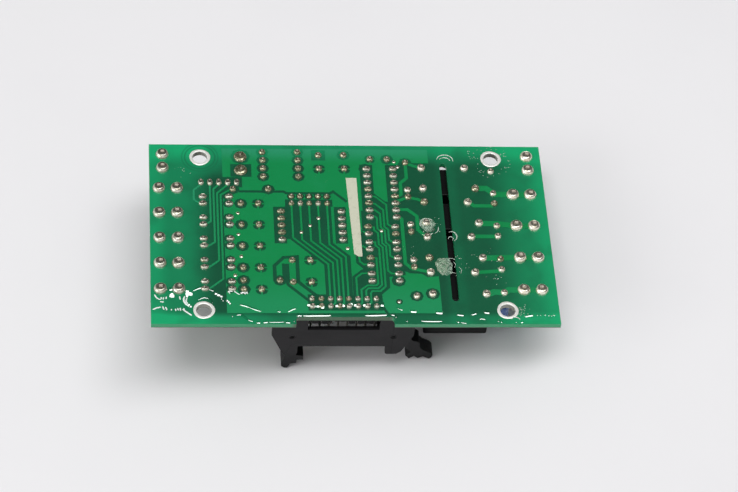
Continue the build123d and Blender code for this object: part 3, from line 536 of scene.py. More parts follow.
def latch_plastic(f):
    """Smooth moulding, with painted shade: a black disc on each pivot stands in for its dark hole."""
    grain = f.noise(0.14, 3.0)
    colour = f.mix(srgb(14, 14, 15), srgb(24, 24, 26), f.noise(1.6, 3.0))
    low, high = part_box("header_housing")
    across = abs(f.x - (low.x + high.x) / 2 / MM) - PIVOT_REACH
    upward = f.z - (high.z / MM - PIVOT_DROP)
    # painted shade: near-black and fully metallic, so it takes no diffuse light, in place of the pivot hole
    painted_pivot_hole = away(across, upward).until(0.5, 0.75)
    colour = f.mix(colour, srgb(1, 1, 1), painted_pivot_hole)
    return f.surface(
        colour, grain - painted_pivot_hole * 3.0, 0.02, Metallic=painted_pivot_hole, Roughness=0.36 + grain * 0.16,
        Specular_IOR_Level=0.22,
    )


def floor_paper(f):
    """Matt white paper; far from the board it fades into the background."""
    cloud = f.noise(60.0, 3.0)
    colour = f.mix(tuple(colours().floor), srgb(232, 231, 234), cloud.between(0.4, 0.8) * 0.4)
    relief = f.node("ShaderNodeBump", {}, {"Distance": 0.01 * MM, "Height": f.noise(0.5, 2.0)})
    sockets = {"Base Color": colour, "Roughness": 0.75 + cloud * 0.1, "Normal": relief.outputs[0]}
    paper = f.node("ShaderNodeBsdfPrincipled", {}, sockets)
    white = f.node("ShaderNodeEmission", {}, {"Color": (1, 1, 1), "Strength": 1.0})
    seen = Value(f, f.node("ShaderNodeLightPath").outputs["Is Camera Ray"])
    far = away(f.x, f.y).between(300, 1500)
    mixed = f.node("ShaderNodeMixShader", {}, {0: far * seen, 1: paper.outputs[0], 2: white.outputs[0]})
    f.node("ShaderNodeOutputMaterial", {}, {"Surface": mixed.outputs[0]})
    return f.material


def surroundings(g, ambient):
    """Even light from all round. Glossy surfaces see a pale backdrop, highest in front, and a dim ceiling."""
    path = g.node("ShaderNodeLightPath")
    seen = Value(g, path.outputs["Is Camera Ray"])
    mirrored = Value(g, path.outputs["Is Glossy Ray"])
    across, depth, height = g.parts(g.node("ShaderNodeTexCoord").outputs["Generated"])
    reach = height + depth * 0.5 + across * 0.28
    backdrop = reach.until(0.22, 0.52) * 0.92 + 0.03
    strength = ambient * (1 - seen) * (1 - mirrored) + mirrored * backdrop + seen
    sky = g.node("ShaderNodeBackground", {}, {"Color": (1, 1, 1), "Strength": strength})
    g.node("ShaderNodeOutputWorld", {}, {"Surface": sky.outputs[0]})


# ---- mesh tools
def wear(piece, *makers):
    """Gives a piece its finishes, in the order of its face materials."""
    for maker in makers:
        piece.data.materials.append(finish(maker))


def placed(name, bm, makers, body, nodes=(), smooth=40.0):
    """Turns a bmesh into a piece that rides on a body and stands for some CAD nodes."""
    mesh = bpy.data.meshes.new(name)
    bmesh.ops.recalc_face_normals(bm, faces=bm.faces)
    bm.to_mesh(mesh)
    bm.free()
    mesh.shade_smooth()
    mesh.set_sharp_from_angle(angle=radians(smooth))
    piece = bpy.data.objects.new(name, mesh)
    bpy.context.scene.collection.objects.link(piece)
    wear(piece, *makers)
    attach(piece, body)
    if nodes:
        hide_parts(*nodes)
    return piece


def cad_mesh(node):
    """A CAD node's mesh, welded and with its flat faces whole."""
    bm = bmesh.new()
    bm.from_mesh(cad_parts[node].data)
    bmesh.ops.remove_doubles(bm, verts=bm.verts, dist=1e-6)
    bmesh.ops.dissolve_limit(bm, angle_limit=radians(1), verts=bm.verts, edges=bm.edges)
    return bm


def dressed(name, node, maker, width, body="board", segments=3, angle=30.0):
    """A CAD node with its own finish and its edges rounded; width in millimetres."""
    piece = placed(name, cad_mesh(node), [maker], body, [node], smooth=60.0)
    bevel = piece.modifiers.new("rounding", "BEVEL")
    bevel.width = width * MM
    bevel.segments = segments
    bevel.limit_method = "ANGLE"
    bevel.angle_limit = radians(angle)
    bevel.harden_normals = True


def solids(node):
    """Lowest and highest corner of each loose solid of a CAD node, back to front."""
    bm = bmesh.new()
    bm.from_mesh(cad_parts[node].data)
    bmesh.ops.remove_doubles(bm, verts=bm.verts, dist=1e-6)
    left = set(bm.verts)
    boxes = []
    while left:
        reach = [left.pop()]
        corners = []
        while reach:
            vert = reach.pop()
            corners.append(vert.co.copy())
            for edge in vert.link_edges:
                other = edge.other_vert(vert)
                if other in left:
                    left.discard(other)
                    reach.append(other)
        low = Vector([min(c[n] for c in corners) for n in range(3)])
        high = Vector([max(c[n] for c in corners) for n in range(3)])
        boxes.append((low, high))
    bm.free()
    return sorted(boxes, key=lambda b: (-round(b[1].y, 5), round(b[0].x, 5)))


def ring_of(bm, points):
    """New vertices at the points."""
    return [bm.verts.new(p) for p in points]


def bridge(bm, lower, upper, material=0):
    """A closed band of faces between two rings."""
    count = len(lower)
    for n in range(count):
        face = bm.faces.new((lower[n], lower[(n + 1) % count], upper[(n + 1) % count], upper[n]))
        face.material_index = material


def turned(bm, origin, profile, sides=20, axis="Z", swell=None, materials=None, lean=None):
    """Turns (radius, height) pairs about an axis through origin; the ends are closed."""
    rings = []
    widest = max(radius for radius, height in profile)
    for radius, height in profile:
        shift = lean * (1 - radius / widest) if lean else Vector()
        points = []
        for n in range(sides):
            angle = 2 * pi * n / sides
            reach = radius * (swell(angle) if swell else 1)
            u, v = reach * cos(angle), reach * sin(angle)
            offset = {"Z": (u, v, height), "X": (height, u, v), "Y": (u, height, v)}[axis]
            points.append(origin + shift + Vector(offset))
        rings.append(ring_of(bm, points))
    for n in range(len(rings) - 1):
        bridge(bm, rings[n], rings[n + 1], materials[n] if materials else 0)
    bm.faces.new(rings[0]).material_index = materials[0] if materials else 0
    bm.faces.new(rings[-1]).material_index = materials[-1] if materials else 0


def block(bm, low, high, material=0, inset=0.0):
    """A box from corner to corner, its top drawn in by inset."""
    rings = []
    for z, draw in ((low.z, 0.0), (high.z, inset)):
        left, right, front, back = low.x + draw, high.x - draw, low.y + draw, high.y - draw
        rings.append(ring_of(bm, [(left, front, z), (right, front, z), (right, back, z), (left, back, z)]))
    bridge(bm, rings[0], rings[1], material)
    bm.faces.new(rings[0]).material_index = material
    bm.faces.new(rings[1]).material_index = material


# ---- solder joints
# Outline of a joint: shares of its radius and of its height
JOINT = (
    (1.0, 0.0), (0.98, 0.18), (0.93, 0.4), (0.85, 0.6), (0.75, 0.75),
    (0.66, 0.85), (0.57, 0.89), (0.44, 0.88), (0.3, 0.86), (0.08, 0.86),
)
SKINS = (solder, lead_end, fluxed_solder)
DULL_SKINS = (dull_solder, lead_end, fluxed_solder)
OVAL = (1.45, 1.0)

# Width and depth of the leads that stand in the joints
CHIP_LEAD = (0.5, 0.36)
NETWORK_LEAD = (0.46, 0.36)
RELAY_LEAD = (0.9, 0.5)
PIN_LEAD = (0.6, 0.6)
WIRE_LEAD = (0.55, 0.55)
BLADE_LEAD = (1.3, 0.9)


def joint(bm, low, high, chance, lead, skin, oval):
    """One hand-soldered joint: steep shining sides, a flatter top, and the cut lead standing in it.

    Oval gives how far it stretches along X, to the right, and along Y, to the front.
    """
    radius = (high.x - low.x) / 2
    height = high.z
    origin = Vector(((low.x + high.x) / 2, (low.y + high.y) / 2, 0))
    wider, deeper = oval
    phase = [chance.uniform(0, 2 * pi) for _ in range(3)]
    depth = [chance.uniform(0.0, 0.06), chance.uniform(0.0, 0.04), chance.uniform(0.0, 0.03)]

    def swell(angle):
        dents = sum(d * (1 + cos((n + 2) * angle + p)) / 2 for n, (d, p) in enumerate(zip(depth, phase)))
        stretch = wider * deeper / sqrt((deeper * cos(angle)) ** 2 + (wider * sin(angle)) ** 2)
        return (1 - dents) * stretch

    lean = Vector((chance.uniform(-0.06, 0.14), chance.uniform(0.08, 0.22), 0)) * radius
    profile = [(r * radius, z * height * chance.uniform(0.95, 1.03)) for r, z in JOINT]
    pool = origin + Vector((wider - 1, 1 - deeper, 0)) * radius * 0.7
    turned(bm, pool, profile, 20, swell=swell, materials=[skin] * len(JOINT), lean=lean)
    wide, deep = lead
    foot = origin + lean + Vector((-wide / 2, -deep / 2, height * 0.4))
    tip = origin + lean + Vector((wide / 2, deep / 2, height * chance.uniform(0.98, 1.1)))
    block(bm, foot, tip, 1, min(wide, deep) * 0.2)


def joints(name, node, lead, seed, fluxed, skins=SKINS, oval=(1, 1)):
    """Joints of a node. Fluxed gives the share with old flux on them, over the middle and elsewhere."""
    chance = Random(seed)
    bm = bmesh.new()
    for low, high in solids(node):
        middle = MIDDLE[0] * MM < (low.x + high.x) / 2 < MIDDLE[1] * MM
        skin = 2 if chance.random() < fluxed[0 if middle else 1] else 0
        in_row = low.x < NETWORK_ROW[0] * MM and low.y > NETWORK_ROW[1] * MM
        shape = oval[::-1] if in_row else oval
        joint(bm, low, high, chance, (lead[0] * MM, lead[1] * MM), skin, shape)
    placed(name, bm, skins, "board", [node], smooth=50.0)


# ---- coating
def smooth_line(points, step=0.25):
    """Points every step millimetres or so along a curve through the given ones."""
    line = []
    spaced = [points[0], *points, points[-1]]
    for n in range(1, len(spaced) - 2):
        p0, p1, p2, p3 = (Vector(p) for p in spaced[n - 1:n + 3])
        count = max(2, int((p2 - p1).length / step))
        for k in range(count):
            t = k / count
            line.append(
                0.5 * (2 * p1 + (p2 - p0) * t + (2 * p0 - 5 * p1 + 4 * p2 - p3) * t * t
                       + (3 * p1 - p0 - 3 * p2 + p3) * t * t * t)
            )
    line.append(Vector(points[-1]))
    return line


BEAD_STEPS = 12


def bead(bm, points, width, height, base=0.04, sloped=False):
    """A soft ridge along a line of (x, y) points, thinning out at both ends.

    A sloped one rises evenly from its front side to a crest near its back. Lengths in millimetres.
    """
    front = -sizes().board_depth / 2 / MM + width / 2
    line = smooth_line([Vector((x, max(y, front))) for x, y in points])
    rings = []
    last = len(line) - 1
    for n, point in enumerate(line):
        ahead = (line[min(n + 1, last)] - line[max(n - 1, 0)]).normalized()
        side = Vector((-ahead.y, ahead.x))
        run = n / last
        full = (1 - abs(2 * run - 1) ** 3) ** 0.5 if 0 < n < last else 0.1
        ring = []
        for k in range(BEAD_STEPS + 1):
            across = 2 * k / BEAD_STEPS - 1
            place = point + side * across * width / 2 * full
            share = (1 + cos(pi * across)) / 2
            if sloped:
                share = (1 + across) / 2 if k < BEAD_STEPS else 0
            rise = base + height * full * share
            ring.append((place.x * MM, place.y * MM, rise * MM))
        ring.append((point.x * MM, point.y * MM, base * 0.5 * MM))
        rings.append(ring_of(bm, ring))
    for lower, upper in zip(rings, rings[1:]):
        bridge(bm, lower, upper)
    bm.faces.new(rings[0])
    bm.faces.new(rings[-1])


def from_corner(points):
    """Points given from the board's back-left corner, in the part's own frame."""
    wide, deep = sizes().board_width / 2 / MM, sizes().board_depth / 2 / MM
    return [(x - wide, y + deep) for x, y in points]


# ---- settings
class RelayBoardSizes(bpy.types.PropertyGroup):
    board_width: bpy.props.FloatProperty(
        name="Board width", description="Length of the laminate along X", default=0.113,
        unit="LENGTH",
    )
    board_depth: bpy.props.FloatProperty(
        name="Board depth", description="Depth of the laminate along Y", default=0.0646,
        unit="LENGTH",
    )
    board_thickness: bpy.props.FloatProperty(
        name="Board thickness", description="Thickness of the laminate", default=0.0016,
        unit="LENGTH",
    )


class RelayBoardColours(bpy.types.PropertyGroup):
    laminate: bpy.props.FloatVectorProperty(
        name="Bare laminate", description="Mask over bare laminate", subtype="COLOR",
        default=srgb(4, 84, 55),
    )
    # Painted light: the colour that the mask over bare laminate takes near the board's ends
    laminate_light: bpy.props.FloatVectorProperty(
        name="Lit laminate", description="Mask near the board's ends", subtype="COLOR",
        default=srgb(4, 168, 108),
    )
    copper: bpy.props.FloatVectorProperty(
        name="Covered copper", description="Mask over copper", subtype="COLOR",
        default=srgb(0, 138, 74),
    )
    # Painted light: the colour that the mask over copper takes near the back edge
    copper_light: bpy.props.FloatVectorProperty(
        name="Lit copper", description="Mask over copper near the back edge", subtype="COLOR",
        default=srgb(38, 150, 106),
    )
    floor: bpy.props.FloatVectorProperty(
        name="Floor", description="Pale table top", subtype="COLOR",
        default=srgb(238, 237, 239),
    )


class RelayBoardStage(bpy.types.PropertyGroup):
    lamp_power: bpy.props.FloatProperty(
        name="Lamp power", description="Power of the softbox above the board", default=9.1,
        unit="POWER",
    )
    fill_power: bpy.props.FloatProperty(
        name="Fill power", description="Power of the low softbox at the front left", default=2.6,
        unit="POWER",
    )
    ambient: bpy.props.FloatProperty(
        name="Ambient light", description="Strength of the even light from all round", default=0.34
    )


# ---- operators
class RELAYBOARD_OT_laminate(bpy.types.Operator):
    """Coated laminate with its slot, notch and mounting holes"""
    bl_idname = PREFIX + ".laminate"
    bl_label = "Laminate"
    bl_options = {"REGISTER", "UNDO"}

    def execute(self, context):
        dressed("coated_laminate", "laminate", mask_over_laminate, 0.06, segments=2)
        return {"FINISHED"}


class RELAYBOARD_OT_copper(bpy.types.Operator):
    """Copper artwork under its green mask"""
    bl_idname = PREFIX + ".copper"
    bl_label = "Masked copper"
    bl_options = {"REGISTER", "UNDO"}

    def execute(self, context):
        for node in ("copper_pour", "signal_tracks", "power_tracks"):
            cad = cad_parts[node]
            cad.data.materials.clear()
            wear(cad, mask_over_copper)
        return {"FINISHED"}


class RELAYBOARD_OT_rings(bpy.types.Operator):
    """Tinned rings round the four mounting holes"""
    bl_idname = PREFIX + ".rings"
    bl_label = "Hole rings"
    bl_options = {"REGISTER", "UNDO"}

    def execute(self, context):
        chance = Random(5)
        bm = bmesh.new()
        for low, high in solids("hole_rings"):
            centre = (low + high) / 2
            outer = (high.x - low.x) / 2
            inner = outer * 0.71
            phase = chance.uniform(0, 6)
            rings = []
            wall = -sizes().board_thickness / MM
            profile = (
                (0.06, wall), (-0.03, wall), (-0.03, 0.0), (0.1, 0.09), (0.45, 0.115), (0.85, 0.09), (1, 0.0)
            )
            for share, z in profile:
                points = []
                for n in range(48):
                    angle = 2 * pi * n / 48
                    ripple = 1 - 0.02 * (1 + sin(3 * angle + phase)) * max(share, 0)
                    radius = (inner + (outer - inner) * share) * ripple
                    points.append((centre.x + radius * cos(angle), centre.y + radius * sin(angle), z * MM))
                rings.append(ring_of(bm, points))
            for lower, upper in zip(rings, rings[1:] + rings[:1]):
                bridge(bm, lower, upper)
        placed("tinned_hole_rings", bm, [tinned_ring], "board", ["hole_rings"])
        return {"FINISHED"}


class RELAYBOARD_OT_tab_joints(bpy.types.Operator):
    """Solder domes over the legs of the quick-connect blades"""
    bl_idname = PREFIX + ".tab_joints"
    bl_label = "Blade joints"
    bl_options = {"REGISTER", "UNDO"}

    def execute(self, context):
        joints("input_blade_joints", "input_tab_solder", BLADE_LEAD, 11, (0, 0), DULL_SKINS)
        joints("output_blade_joints", "output_tab_solder", BLADE_LEAD, 12, (0, 0))
        return {"FINISHED"}


class RELAYBOARD_OT_lead_joints(bpy.types.Operator):
    """Solder joints of the relays, diodes, varistors, capacitors and resistors"""
    bl_idname = PREFIX + ".lead_joints"
    bl_label = "Lead joints"
    bl_options = {"REGISTER", "UNDO"}

    def execute(self, context):
        joints("relay_joints", "relay_solder", RELAY_LEAD, 21, (0, 0.15))
        joints("varistor_joints", "varistor_solder", PIN_LEAD, 22, (0, 0.3))
        joints("diode_joints", "diode_solder", WIRE_LEAD, 23, (1, 0.6))
        joints("capacitor_joints", "capacitor_solder", WIRE_LEAD, 24, (1, 1))
        joints("resistor_joints", "resistor_solder", WIRE_LEAD, 25, (1, 0.6))
        return {"FINISHED"}


class RELAYBOARD_OT_chip_joints(bpy.types.Operator):
    """Small solder joints of the chips, networks, jumper pins and ribbon header"""
    bl_idname = PREFIX + ".chip_joints"
    bl_label = "Chip joints"
    bl_options = {"REGISTER", "UNDO"}

    def execute(self, context):
        joints("input_coupler_joints", "input_coupler_solder", CHIP_LEAD, 31, (0, 0), DULL_SKINS, OVAL)
        joints("output_coupler_joints", "output_coupler_solder", CHIP_LEAD, 32, (0, 0.2), DULL_SKINS, OVAL)
        joints("driver_joints", "driver_solder", CHIP_LEAD, 33, (0.6, 0.2), DULL_SKINS, OVAL)
        joints("network_joints", "network_solder", NETWORK_LEAD, 34, (0.6, 0), DULL_SKINS, OVAL)
        joints("jumper_joints", "jumper_solder", PIN_LEAD, 35, (0.9, 0.7), DULL_SKINS)
        joints("header_joints", "header_solder", PIN_LEAD, 36, (0.3, 0.3), DULL_SKINS)
        return {"FINISHED"}


class RELAYBOARD_OT_vias(bpy.types.Operator):
    """Filled vias"""
    bl_idname = PREFIX + ".vias"
    bl_label = "Vias"
    bl_options = {"REGISTER", "UNDO"}

    def execute(self, context):
        chance = Random(41)
        bm = bmesh.new()
        for low, high in solids("via_domes"):
            centre = Vector(((low.x + high.x) / 2, (low.y + high.y) / 2, 0))
            radius = (high.x - low.x) / 2 * chance.uniform(0.85, 1.0)
            profile = [(radius, 0.05 * MM), (radius * 0.92, high.z * 0.6)]
            profile += [(radius * 0.6, high.z * 0.92), (radius * 0.25, high.z)]
            turned(bm, centre, profile, 16)
        placed("via_fills", bm, [solder], "board", ["via_domes"])
        return {"FINISHED"}


# Heights of the coating for its width
STREAK_RISE = 0.125
POOL_RISE = 0.35
BRIDGE_WIDTH = 0.55  # share of the listed width that a pin bridge fills
BRIDGE_RISE = 0.19
BRIDGE_BASE = 0.35  # millimetres that a pin bridge stands off the board

# Ridges of coating along the front: width, then points from the board's back-left corner, in millimetres
STREAKS = (
    (1.5, ((4.6, -52.1), (5.4, -52.7), (6.3, -52.1))),
    (1.0, ((11.6, -53.2), (12.5, -52.6), (13.7, -52.1), (14.9, -52.2), (16.1, -52.6), (17.4, -53.3))),
    (0.64, ((12.9, -56.4), (14.6, -55.5), (16.5, -56.2), (17.0, -57.5))),
    (1.25, ((24.0, -57.8), (26.2, -58.4), (28.3, -59.4), (30.2, -60.3))),
    (0.96, ((34.3, -60.0), (35.7, -60.5))),
    (1.04, ((37.4, -60.5), (38.5, -59.7), (39.9, -59.1))),
    (0.72, ((21.9, -61.9), (22.5, -62.0))),
    (0.8, ((23.3, -61.6), (24.5, -61.4), (25.5, -62.2), (26.5, -63.1), (27.9, -63.8))),
    (0.88, ((28.6, -64.1), (29.9, -64.2))),
    (0.88, ((30.5, -64.1), (32.0, -63.9))),
    (0.5, ((32.1, -64.0), (36.4, -63.9))),
    (0.88, ((36.5, -63.9), (38.1, -64.4))),
    (0.56, ((39.2, -63.2), (39.0, -64.0))),
    (0.88, ((39.9, -62.1), (40.4, -61.6), (41.4, -61.8))),
    (1.15, ((41.5, -61.7), (45.6, -61.6), (49.4, -61.6))),
    (1.15, ((58.6, -61.6), (61.7, -61.5), (64.9, -61.4))),
    (0.96, ((65.7, -61.3), (67.0, -61.6), (67.4, -62.5))),
    (0.96, ((67.4, -58.8), (68.4, -59.3), (69.3, -59.9))),
    (1.5, ((71.1, -60.1), (72.2, -60.2), (73.3, -60.3))),
    (1.5, ((78.1, -60.5), (79.2, -60.6), (80.5, -60.7))),
    (1.04, ((84.0, -61.2), (85.1, -61.4), (86.2, -61.6))),
    (0.88, ((88.2, -61.4), (89.9, -60.7))),
    (1.2, ((91.6, -60.4), (93.5, -60.7))),
    (0.8, ((69.8, -63.6), (70.5, -63.6))),
    (0.8, ((74.0, -63.5), (76.9, -63.6), (80.0, -63.6))),
    (0.8, ((83.9, -63.8), (84.8, -64.0))),
    (0.48, ((84.9, -64.0), (86.7, -64.4))),
    (0.64, ((90.3, -63.0), (90.9, -62.7), (92.1, -63.0))),
    (0.72, ((95.4, -63.1), (95.7, -63.9))),
    (0.8, ((96.0, -63.6), (96.7, -64.1))),
    (0.64, ((100.2, -64.0), (100.8, -63.9))),
    (0.72, ((101.6, -64.1), (102.7, -63.8))),
    (1.1, ((103.0, -62.0), (104.3, -61.6), (105.6, -61.5))),
    (0.6, ((106.3, -61.5), (106.9, -61.5))),
    (0.6, ((107.2, -61.5), (107.8, -61.5))),
    (0.9, ((108.5, -61.4), (109.1, -61.4))),
    (0.8, ((109.5, -61.6), (110.1, -61.6))),
    (0.8, ((110.3, -61.7), (110.9, -61.7))),
    (1.0, ((111.0, -61.6), (111.6, -61.3))),
)

# Pools of coating that slope to the front
POOLS = (
    (0.95, ((9.2, -54.1), (11.6, -54.5))),
    (0.45, ((9.3, -53.2), (10.6, -53.5))),
    (0.6, ((9.3, -54.9), (10.4, -55.1))),
    (0.95, ((4.8, -54.8), (6.6, -55.2))),
    (0.5, ((5.2, -54.2), (6.3, -54.4))),
    (0.5, ((9.6, -57.3), (10.3, -57.5))),
    (0.55, ((9.9, -58.0), (10.8, -58.2))),
    (0.45, ((10.4, -58.6), (11.3, -58.8))),
    (0.45, ((17.3, -54.2), (18.4, -54.4))),
    (0.5, ((17.9, -54.6), (19.2, -54.9))),
    (0.45, ((18.8, -55.1), (19.8, -55.3))),
    (0.35, ((19.1, -56.0), (19.6, -56.1))),
    (0.35, ((19.5, -56.6), (20.0, -56.7))),
    (0.55, ((20.5, -56.6), (21.3, -56.8))),
    (0.6, ((20.8, -57.1), (21.7, -57.3))),
    (0.55, ((21.2, -57.6), (22.0, -57.8))),
)

# Coating drawn up between the pins of the ribbon header
PIN_BRIDGES = (
    (1.0, ((42.7, -58.4), (43.9, -58.5))),
    (1.2, ((44.0, -58.7), (45.3, -58.8))),
    (1.0, ((45.2, -58.8), (46.4, -58.9))),
    (1.7, ((46.4, -59.0), (47.7, -59.1))),
    (1.1, ((48.8, -58.6), (50.1, -58.7))),
    (1.1, ((50.5, -58.7), (51.8, -58.7))),
    (1.2, ((52.1, -58.5), (53.4, -58.6))),
    (1.2, ((53.9, -58.3), (55.2, -58.4))),
    (1.2, ((55.6, -58.4), (56.9, -58.5))),
    (1.1, ((52.3, -58.6), (53.4, -58.7))),
    (1.3, ((54.5, -58.0), (55.6, -58.1))),
    (1.1, ((56.0, -58.4), (57.1, -58.5))),
    (1.2, ((58.1, -58.4), (59.2, -58.5))),
    (1.2, ((59.4, -58.1), (60.5, -58.2))),
    (1.1, ((61.5, -58.4), (62.6, -58.5))),
    (1.0, ((63.0, -58.5), (64.2, -58.6))),
)

# Painted highlights: low ridges of coating coloured near-white to stand in for glare, all of one height
GLARE_RIM_HEIGHT = 0.1
FILM_BASE = 0.02
GLARE_RIM_LINES = (
    (0.4, ((1.0, -54.4), (1.6, -55.6), (2.7, -56.3))),
    (0.4, ((2.9, -55.3), (2.8, -56.2))),
    (0.4, ((3.5, -55.4), (3.4, -56.3))),
    (0.4, ((4.3, -55.1), (4.2, -56.1))),
    (0.4, ((7.9, -55.0), (8.1, -56.3))),
    (0.5, ((9.4, -54.9), (9.0, -56.3), (9.5, -57.6), (10.6, -58.7))),
    (0.4, ((10.1, -55.3), (9.7, -56.4), (9.9, -57.6), (10.7, -58.3))),
    (0.45, ((8.6, -59.5), (9.7, -60.5), (11.2, -61.7))),
    (0.4, ((8.0, -59.0), (8.1, -60.1))),
    (0.4, ((9.0, -59.1), (9.1, -60.0))),
    (0.4, ((7.3, -59.1), (7.5, -60.0))),
    (0.4, ((6.7, -59.3), (6.8, -60.2))),
    (0.4, ((5.5, -59.4), (5.7, -60.0))),
    (0.45, ((0.5, -59.7), (1.6, -59.1), (2.8, -58.8))),
    (0.4, ((3.2, -58.4), (3.6, -59.8))),
    (0.4, ((4.0, -58.7), (4.4, -59.9))),
    (0.4, ((2.5, -56.9), (3.6, -57.1))),
    (0.5, ((21.3, -53.2), (21.8, -54.4))),
    (0.7, ((23.0, -53.3), (23.9, -54.2), (24.7, -54.5))),
    (0.6, ((24.7, -54.2), (25.6, -53.5), (26.0, -54.4))),
    (0.5, ((26.2, -53.2), (26.6, -54.2))),
    (0.5, ((21.5, -53.2), (22.7, -53.2))),
    (0.4, ((14.3, -45.7), (14.9, -44.9))),
)


class RELAYBOARD_OT_coating(bpy.types.Operator):
    """Ridges and runs of clear coating along the front of the board"""
    bl_idname = PREFIX + ".coating"
    bl_label = "Coating runs"
    bl_options = {"REGISTER", "UNDO"}

    def execute(self, context):
        bm = bmesh.new()
        for width, points in STREAKS:
            bead(bm, from_corner(points), width, width * STREAK_RISE)
        for width, points in POOLS:
            bead(bm, from_corner(points), width, width * POOL_RISE, sloped=True)
        for width, points in PIN_BRIDGES:
            size = (width * BRIDGE_WIDTH, width * BRIDGE_RISE, BRIDGE_BASE)
            bead(bm, from_corner(points), *size, sloped=True)
        placed("coating_runs", bm, [coating], "board", smooth=80.0)
        return {"FINISHED"}


class RELAYBOARD_OT_marking(bpy.types.Operator):
    """Cream strip beside the driver chip"""
    bl_idname = PREFIX + ".marking"
    bl_label = "Marking strip"
    bl_options = {"REGISTER", "UNDO"}

    def execute(self, context):
        dressed("cream_strip", "marking_strip", marking, 0.02, segments=2)
        return {"FINISHED"}


# Outline of a cake of residue: shares of its reach and of its height
CRUST = ((1.0, 0.0), (0.94, 0.5), (0.8, 0.8), (0.6, 0.95), (0.4, 0.9), (0.2, 1.0), (0.05, 0.95))


def crust(bm, chance, centre, half_x, half_y, height, base=0.0, count=44):
    """A low ragged cake of residue; lengths in metres."""
    phase = [chance.uniform(0, 2 * pi) for _ in range(4)]
    rings = []
    for share, rise in CRUST:
        points = []
        for n in range(count):
            angle = 2 * pi * n / count
            ragged = 1 - 0.07 * (1 + sin(3 * angle + phase[0])) - 0.05 * (1 + sin(7 * angle + phase[1]))
            reach = share * (ragged - chance.uniform(0, 0.05))
            lift = base + height * rise * chance.uniform(0.75, 1.0)
            x, y = centre[0] + half_x * reach * cos(angle), centre[1] + half_y * reach * sin(angle)
            points.append((x, y, lift))
        rings.append(ring_of(bm, points))
    for lower, upper in zip(rings, rings[1:]):
        bridge(bm, lower, upper)
    bm.faces.new(rings[0])
    bm.faces.new(rings[-1])


def arc(centre, radius, start, end, squash=1.0):
    """Points along part of a circle; angles in degrees, lengths in millimetres."""
    count = max(4, int(abs(end - start) / 30))
    turns = [radians(start + (end - start) * n / count) for n in range(count + 1)]
    return [(centre[0] + radius * cos(t), centre[1] + radius * squash * sin(t)) for t in turns]


# Width of each line, and its points from the board's back-left corner, as in the lists above
DRIED_LINES = (
    (0.3, arc((85.1, -5.5), 2.4, -10, 170, 0.9)),
    (0.28, arc((85.0, -5.9), 1.7, 10, 150, 0.9)),
    (0.28, arc((84.9, -33.6), 1.5, -70, 120, 1.2)),
    (0.2, arc((84.6, -34.4), 0.7, -60, 200)),
    (0.3, arc((78.3, -29.2), 2.1, 40, 200)),
    (0.25, arc((78.2, -29.0), 1.5, 60, 230)),
    (0.25, arc((78.5, -29.4), 1.1, -80, 120)),
    (0.5, arc((77.6, -30.0), 3.2, -110, -50)),
    (0.25, arc((79.0, -30.5), 2.4, -60, 10)),
    (0.13, ((83.2, -41.8), (84.3, -41.5), (85.2, -42.1))),
    (0.13, ((84.7, -42.6), (85.2, -43.7), (84.8, -44.9))),
    (0.13, ((86.0, -44.4), (86.7, -45.6), (86.4, -47.0))),
    (0.12, ((83.4, -47.0), (84.4, -46.6), (85.2, -46.9))),
    (0.3, arc((100.4, -63.6), 1.4, 150, 20)),
)

# Specks round a spot: their number, the spot, and the nearest and furthest that they lie from it
SPECKS = (
    (16, (78.3, -29.5), 2.4, 4.4),
    (26, (84.8, -44.6), 1.6, 4.2),
    (60, (98.6, -6.2), 3.6, 6.2),
    (10, (92.6, -3.6), 0.2, 2.2),
    (40, (102.7, -59.9), 0.2, 2.3),
    (14, (96.8, -48.2), 0.4, 3.4),
    (10, (95.0, -41.0), 0.5, 5.0),
    (10, (72.5, -40.0), 0.5, 4.5),
    (8, (48.0, -12.5), 0.5, 5.0),
    (8, (9.5, -10.0), 0.2, 3.0),
)


class RELAYBOARD_OT_residue(bpy.types.Operator):
    """Dried crusts, rings and specks of flux and glue, mostly beside the slot"""
    bl_idname = PREFIX + ".residue"
    bl_label = "Residue"
    bl_options = {"REGISTER", "UNDO"}

    def execute(self, context):
        chance = Random(61)
        for name, node, maker in (
            ("glue_crust", "glue_residue", residue),
            ("flux_crust", "flux_residue", thin_residue),
        ):
            low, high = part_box(node)
            bm = bmesh.new()
            centre = (low + high) / 2
            crust(bm, chance, centre, (high.x - low.x) / 2 * 1.12, (high.y - low.y) / 2 * 1.06, high.z * 0.9)
            placed(name, bm, [maker], "board", [node], smooth=70.0)
        bm = bmesh.new()
        for spot, wide, deep in (((78.3, -29.2), 2.5, 2.7), ((82.2, -44.4), 2.6, 3.6)):
            (x, y), = from_corner([spot])
            crust(bm, chance, (x * MM, y * MM), wide * MM, deep * MM, 0.05 * MM, 0.02 * MM)
        placed("dried_film", bm, [thin_residue], "board", smooth=70.0)
        bm = bmesh.new()
        for width, points in DRIED_LINES:
            bead(bm, from_corner(points), width, width * 0.4, FILM_BASE)
        # painted highlight: near-white ridges of coating where glare is drawn, not residue
        film = bmesh.new()
        for width, points in GLARE_RIM_LINES:
            bead(film, from_corner(points), width, GLARE_RIM_HEIGHT, FILM_BASE)
        placed("film_edges", film, [white_edge], "board", smooth=70.0)
        for count, spot, near, far in SPECKS:
            for _ in range(count):
                turn, reach = chance.uniform(0, 2 * pi), chance.uniform(near, far)
                place = (spot[0] + reach * cos(turn), spot[1] + reach * sin(turn))
                (x, y), = from_corner([place])
                size = chance.uniform(0.05, 0.15) * MM
                wide = size * chance.uniform(0.8, 1.4)
                crust(bm, chance, (x * MM, y * MM), wide, size, 0.06 * MM, 0.03 * MM, 7)
        placed("dried_lines", bm, [dried_line], "board", smooth=70.0)
        return {"FINISHED"}


